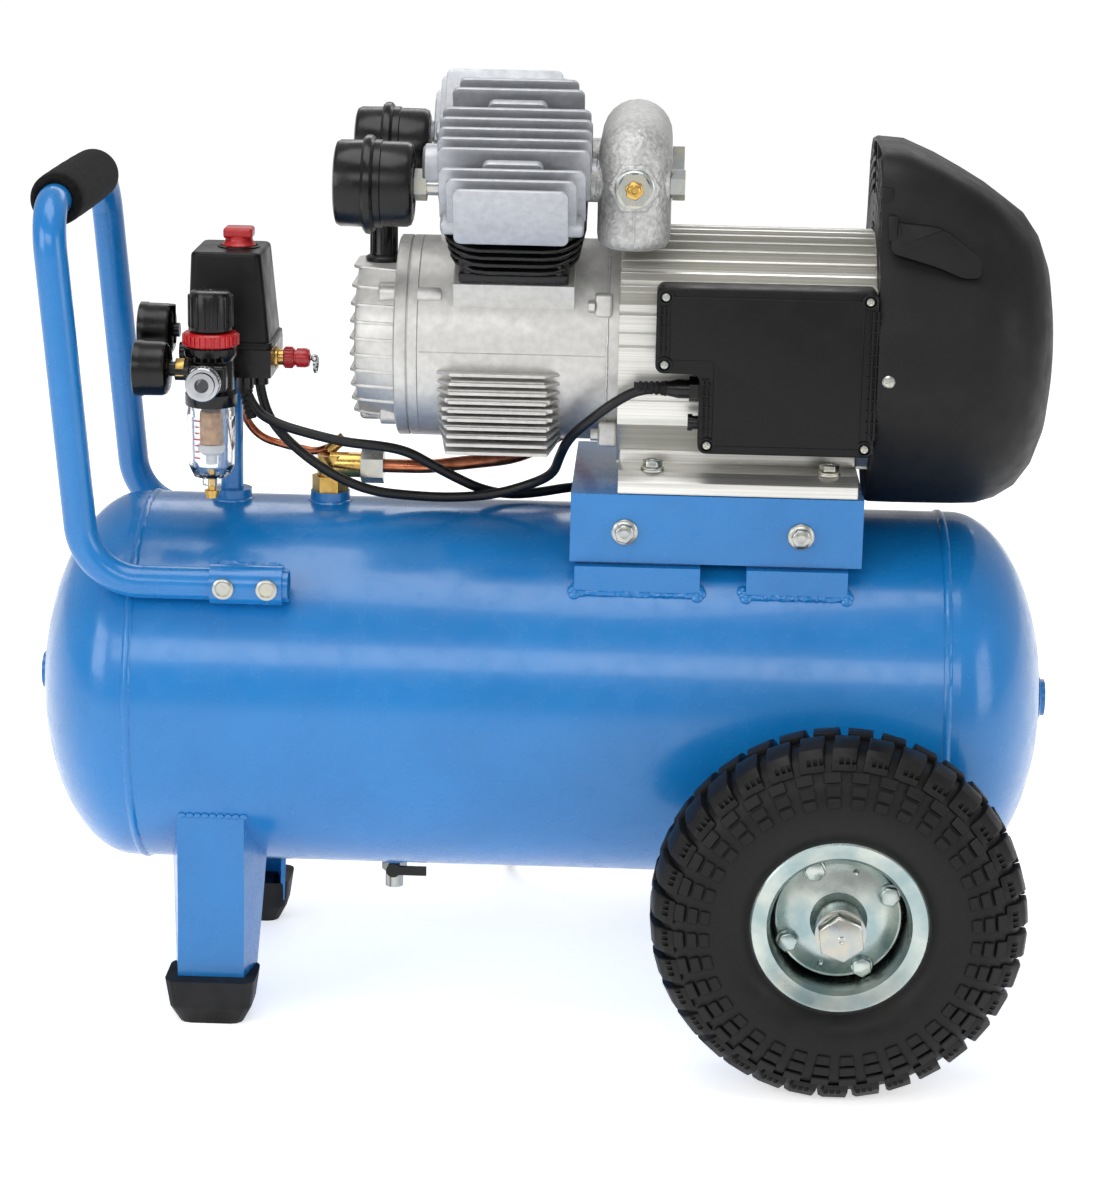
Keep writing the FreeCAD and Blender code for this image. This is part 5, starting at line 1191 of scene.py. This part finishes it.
def makeWelds():
    parts = []
    for x in (-300, 300):
        ring = lathe("ringSeam", [(140.4, -3.6), (141.2, -3), (142.3, -1.4), (142.5, 0.2), (142.2, 1.6),
            (141.1, 3), (140.4, 3.6), (140.4, -3.6)], (x, 0, receiver["axis"]), xAxis, steps=220)
        for vertex in ring.data.vertices:
            vertex.co.x += random.uniform(-0.35, 0.35) * mm
            vertex.co.z += random.uniform(-0.25, 0.25) * mm
        parts.append(ring)
    for end in (-1, 1):
        parts.append(lathe("bungRing", [(13.8, -3), (16.4, -3), (16.6, -1.4), (15, 0.4), (13.8, 0.8)],
            (end * 382.6, 0, receiver["axis"]), (end, 0, 0), steps=48))
    for x in (-239, -164):
        spots = [(x + 15.4 * math.cos(math.tau * k / 14), 15.4 * math.sin(math.tau * k / 14), 378.4)
            for k in range(14)]
        parts.append(bentRod("bossWeld", spots, 2.0, closed=True, steps=6, sides=3))
    for side in (-1, 1):
        # sockets: one run below and one above
        for x0, x1, z, y in ((-236, -189, 327.6, 111.5), (-235, -190, 352.0, 106.5)):
            parts.append(weldBead([(x0, side * y, z), ((x0 + x1) / 2, side * (y + 0.6), z),
                (x1, side * y, z)], 2.6))
        # braces: run along the toe, heavy drops at both ends
        angle = 180 - math.degrees(math.asin(99.5 / 142))
        for x0, x1 in ((26, 118), (152, 226)):
            parts.append(weldBead([skinPoint(x0 + (x1 - x0) * k / 6, angle - 1.2, 0.4, side)
                for k in range(7)], 2.2))
            for x in (x0, x1):
                for k in range(3):
                    spot = skinPoint(x + random.uniform(-3, 3), angle - 1.5 + 1.2 * k, 0.5, side)
                    parts.append(weldDrop([(0, -2), (4.6, -1.6), (4.4, 0.6), (2.6, 2.2), (0, 2.8)], spot, 12))
        # legs: drops along the top fold
        for k in range(9):
            spot = skinPoint(-262 + 46 * k / 8, 57.5, 0.2, side)
            parts.append(weldDrop([(0, -1.6), (3.2, -1.2), (2.8, 0.8), (1.4, 1.6), (0, 1.9)], spot, 10))
        # axle bracket against the shell
        parts.append(weldBead([skinPoint(196 + 52 * k / 6, 52, 0.4, side) for k in range(7)], 2.4))
    return joinAll("weldBeads", parts)


settle(makeWelds(), "blue", "blue_enamel")
print("fasteners and welds ready")


regulatorSizes = {"axis": (-244, -75), "middle": 488, "lockRing": 509.4, "knobRibs": 18, "ringRibs": 30}


def makeRegulator():
    s = regulatorSizes
    x, y = s["axis"]
    z = s["middle"]
    body = lathe("regulatorBody", [(0, -23), (18.4, -23), (19, -22), (19, -14), (17, -11), (17, 11), (19, 14),
        (19.4, 15), (19.4, 20), (18.6, 21), (12, 21.2), (12, 34), (0, 34)], (x, y, z), zAxis, steps=72)
    port = block("portBlock", (x - 14, y - 24, z - 10), (x + 14, y + 4, z + 10), 3, 3)
    back = lathe("backPort", [(0, 0), (11.5, 0), (11.5, 10), (10, 12), (10, 26.5), (0, 26.5)], (x, y, z),
        yAxis, steps=40)
    arm = lathe("gaugePort", [(0, 0), (8.4, 0), (8.4, 17), (7.4, 19), (7.4, 26), (0, 26)], (x, y, z + 2),
        -xAxis, steps=32)
    ribs = [block("bodyRib", (x - 15 + 5 * k, y - 19.4, z + 11), (x - 13.4 + 5 * k, y - 15, z + 15), 0.4, 1)
        for k in range(6)]
    return joinAll("regulatorHousing", [body, port, back, arm] + ribs)


def makeRegulatorKnob():
    s = regulatorSizes
    x, y = s["axis"]
    z = s["middle"]
    knob = lathe("regulatorKnob", [(12.3, 31.8), (14.6, 31.8), (15.6, 33), (15.8, 43), (15.9, 57.5),
        (14.6, 60.6), (12.6, 61.6), (4, 61.8), (3, 61), (0, 61), (0, 35), (12.3, 35), (12.3, 31.8)],
        (x, y, z), zAxis, steps=72)
    rib = block("knobRib", (14.6, -1.15, 35), (16.7, 1.15, 58.6), 0.8, 2)
    return joinAll("regulatorGrip", [knob] + ringOf(rib, s["knobRibs"], shift(x, y, z)))


def makeLockRing():
    s = regulatorSizes
    x, y = s["axis"]
    ring = lathe("lockRing", [(12.2, 0), (19.2, 0), (19.8, 0.8), (19.8, 8.6), (18.8, 9.8), (12.2, 10),
        (12.2, 0)], (x, y, s["lockRing"]), zAxis, steps=72)
    rib = block("ringRib", (18.8, -1.0, 0.7), (20.9, 1.0, 8.6), 0.6, 2)
    return joinAll("regulatorLockRing", [ring] + ringOf(rib, s["ringRibs"], shift(x, y, s["lockRing"])))


settle(makeRegulator(), "nylon", "black_nylon", "regulator_body")
settle(makeRegulatorKnob(), "nylon", "black_nylon", "regulator_knob", body="regulator_knob_body")
settle(makeLockRing(), "red", "red_plastic", "regulator_ring")


def makeSleeve():
    # knurled coupling sleeve between two collars
    profile = [(9.3, 0), (11.6, 0), (12.4, 0.8), (12.4, 3), (11.4, 3.6), (11.4, 9.6), (12.4, 10.2),
        (12.4, 12.2), (11.8, 12.9), (9.3, 12.9), (9.3, 0)]
    at = (-244, -108.6, 488)
    sleeve = lathe("sleeve", profile, at, -yAxis, steps=64)
    rib = block("knurl", (11.0, -0.55, 3.8), (12.2, 0.55, 9.4), 0.3, 1)
    return joinAll("couplerSleeve", [sleeve] + ringOf(rib, 28, shift(*at) @ turning(-yAxis)))


settle(makeSleeve(), "chrome", "nickel_steel", "coupler_sleeve", body="coupler_sleeve_body")


def makeLevelMarks():
    # printed level marks on the bowl
    x, y = regulatorSizes["axis"]
    marks = []
    for k in range(7):
        wide = 5.5 if k % 3 == 0 else 3.4
        mark = block("levelMark", (17.62, -wide / 2, -0.5), (17.95, wide / 2, 0.5), 0)
        marks.append(moveMesh(mark, shift(x, y, 428 + 4.6 * k) @ spin(-118)))
    return joinAll("levelMarks", marks)


settle(makeLevelMarks(), "red", "clear_pc")


gaugePlaces = ((-270, -75, 491), (-278, 0, 507))


def makeGauge(x, y, z):
    # gauge that looks towards the handle: drawn case, bezel, dial with marks, needle and lens
    case = lathe("gaugeCase", [(0, 0), (5.4, 0), (5.4, 4), (15.5, 4.4), (18.6, 6.4), (19.8, 9), (20, 23),
        (20.6, 24), (20.6, 29.4), (19.4, 30), (18.2, 29.6), (18.2, 27), (0, 27)], (x, y, z), -xAxis, steps=72)
    dial = lathe("gaugeDial", rod(18, 27.6, 27.2), (x, y, z), -xAxis, steps=48)
    parts = [paint(case, "nylon"), paint(dial, "dial")]
    place = shift(x, y, z) @ turning(-xAxis)
    for k in range(21):
        long = k % 5 == 0
        mark = block("dialMark", (12.4 if long else 14, -0.28, 27.6), (16.2, 0.28, 27.9), 0)
        moveMesh(mark, place @ spin(-135 + 13.5 * k))
        parts.append(paint(mark, "nylon"))
    needle = block("needle", (-4, -0.6, 28), (13.5, 0.6, 28.5), 0.2, 1)
    moveMesh(needle, place @ spin(-135))
    hub = lathe("needleHub", [(0, 28), (2.4, 28), (2.2, 29), (0, 29.2)], (x, y, z), -xAxis, steps=20)
    return parts + [paint(joinAll("needle", [needle, hub]), "red")]


gauges = []
for spot in gaugePlaces:
    gauges += makeGauge(*spot)
gauges.append(paint(lathe("gaugeElbow", rod(5.2, 24, -5), (-286, 0, 502), zAxis, steps=24), "nylon"))
settle(joinAll("pressureGauges", gauges), None, "black_nylon", "pressure_gauges")
settle(hexBar("gaugeNut", 14, 7, 0.8, (-263, -75, 491), -xAxis), "brass", "brass")


def makeSwitchCover():
    # tapered lid with softened edges and a step round its foot
    low, high = 499.3, 571
    outline = rectangle(-268, -34, -206, 39)
    lid = cutFromPlate("switchLid", outline, high - low, 6, matrix=shift(0, 0, low))
    for vertex in lid.data.vertices:
        if vertex.co.z > 0.55:
            vertex.co.x += 0.003 if vertex.co.x < -0.237 else -0.007
            vertex.co.y += 0.002 if vertex.co.y < 0.0025 else -0.002
    softenEdges(lid, 3.2, 4, angle=50)
    skirt = cutFromPlate("switchSkirt", rectangle(-269.4, -35.6, -204.6, 40.6), 5, 6, matrix=shift(0, 0, low))
    softenEdges(skirt, 0.8, 2)
    rim = lathe("knobWell", [(14, 0), (16.4, 0), (16, 1.6), (14.6, 2), (14, 1.4), (14, 0)], (-233, 2, 570.4),
        zAxis, steps=48)
    return joinAll("switchCover", [lid, skirt, rim])


settle(makeSwitchCover(), "abs", "black_abs", "switch_cover")


def makeSwitchKnob():
    # pull knob: flared foot, narrow waist and a soft rectangular head
    foot = lathe("knobFoot", [(0, 0), (12.6, 0), (12.8, 1.2), (10.8, 3.4), (10, 6), (10.2, 8), (0, 8)],
        (-233, 2, 571.6), zAxis, steps=48)
    crown = block("knobCrown", (-244, -8, 577.6), (-222, 12, 586), 2.6, 4)
    return joinAll("switchPull", [foot, crown])


settle(makeSwitchKnob(), "red", "red_plastic", "switch_knob", body="switch_knob_body")


def makeSafetyValve():
    brassPart = joinAll("valveBrass", [lathe("valveThread", rod(6.4, 6), (-215, 0, 488), xAxis, steps=24),
        hexBar("valveHex", 15, 8, 0.8, (-211, 0, 488), xAxis), lathe("valveNeck", rod(6, 5), (-203.5, 0, 488),
        xAxis, steps=24)])
    cap = lathe("valveCap", [(0, 0), (7, 0), (7.6, 0.8), (7.6, 7), (7, 8), (6, 8.4), (6, 9.6), (7.4, 10),
        (7.4, 17), (6.4, 19.4), (2.6, 20.4), (0, 20.4)], (-199.4, 0, 488), xAxis, steps=48)
    rib = block("capRib", (7.0, -0.6, 1), (8.3, 0.6, 7), 0.3, 1)
    ribs = ringOf(rib, 20, shift(-199.4, 0, 488) @ turning(xAxis))
    return joinAll("safetyValve", [paint(brassPart, "brass"),
        paint(joinAll("valveCap", [cap] + ribs), "red")])


settle(makeSafetyValve(), None, "brass", "safety_valve")


def makePullRing():
    # split ring of spring wire, two turns, hung through the eye of the pull stem
    stem = lathe("pullStem", [(0, 0), (1.8, 0), (1.8, 4), (2.8, 5), (3, 7.4), (2, 8.8), (0, 9)],
        (-182.5, 0, 488), xAxis, steps=24)
    turns = []
    for k in range(33):
        angle = math.tau * k / 16
        turns.append((-175.2 + 1.5 * k / 32 - 0.7 + 1.3 * math.sin(angle) * 0.6, 6.6 * math.sin(angle),
            483.4 - 6.6 * math.cos(angle)))
    return joinAll("pullRing", [stem, bentRod("splitRing", turns, 0.75, steps=4, sides=3)])


settle(makePullRing(), "chrome", "chromated_steel", "safety_ring", body="safety_ring_body")


def makeElement():
    # sintered cup, its white cap and the stand tube below
    at = (*regulatorSizes["axis"], 0)
    cup = lathe("elementCup", [(0, 436), (7.6, 436), (8.6, 437), (8.6, 458), (7.8, 459.4), (0, 459.4)], at,
        steps=40)
    cap = lathe("elementCap", [(0, 428), (6, 428), (9.6, 430.5), (10, 434), (9.4, 435.8), (0, 435.8)], at,
        steps=40)
    stand = lathe("standTube", rod(4.2, 428, 421), at, steps=32)
    return joinAll("filterElement", [paint(cup, "sintered"), paint(cap, "white"), paint(stand, "white")])


settle(makeElement(), None, "sintered_bronze", "filter_element")
print("regulator and switch ready")


gripSizes = {"half": 83, "radius": 20, "bore": 12.1, "at": (-355, 0, 613.5)}


def makeGrip():
    # slipped-on foam tube, ends rolled in, a little fuller in the middle
    s = gripSizes
    half, radius, bore = s["half"], s["radius"], s["bore"]
    profile = [(bore, -half + 1.5), (bore + 2, -half), (radius - 4.5, -half + 0.4), (radius - 1.6, -half + 3),
        (radius - 0.6, -half + 8)]
    for k in range(1, 12):
        height = -half + 8 + (2 * half - 16) * k / 12
        profile.append((radius - 0.5 + 0.4 * math.sin(math.pi * k / 12) + 0.12 * math.sin(k * 2.3), height))
    profile += [(radius - 0.6, half - 8), (radius - 1.6, half - 3), (radius - 4.5, half - 0.4),
        (bore + 2, half), (bore, half - 1.5), (bore, -half + 1.5)]
    return lathe("foamGrip", profile, s["at"], yAxis, steps=72)


grip = settle(makeGrip(), "foam", "foam", "handle_grip", smooth=60)
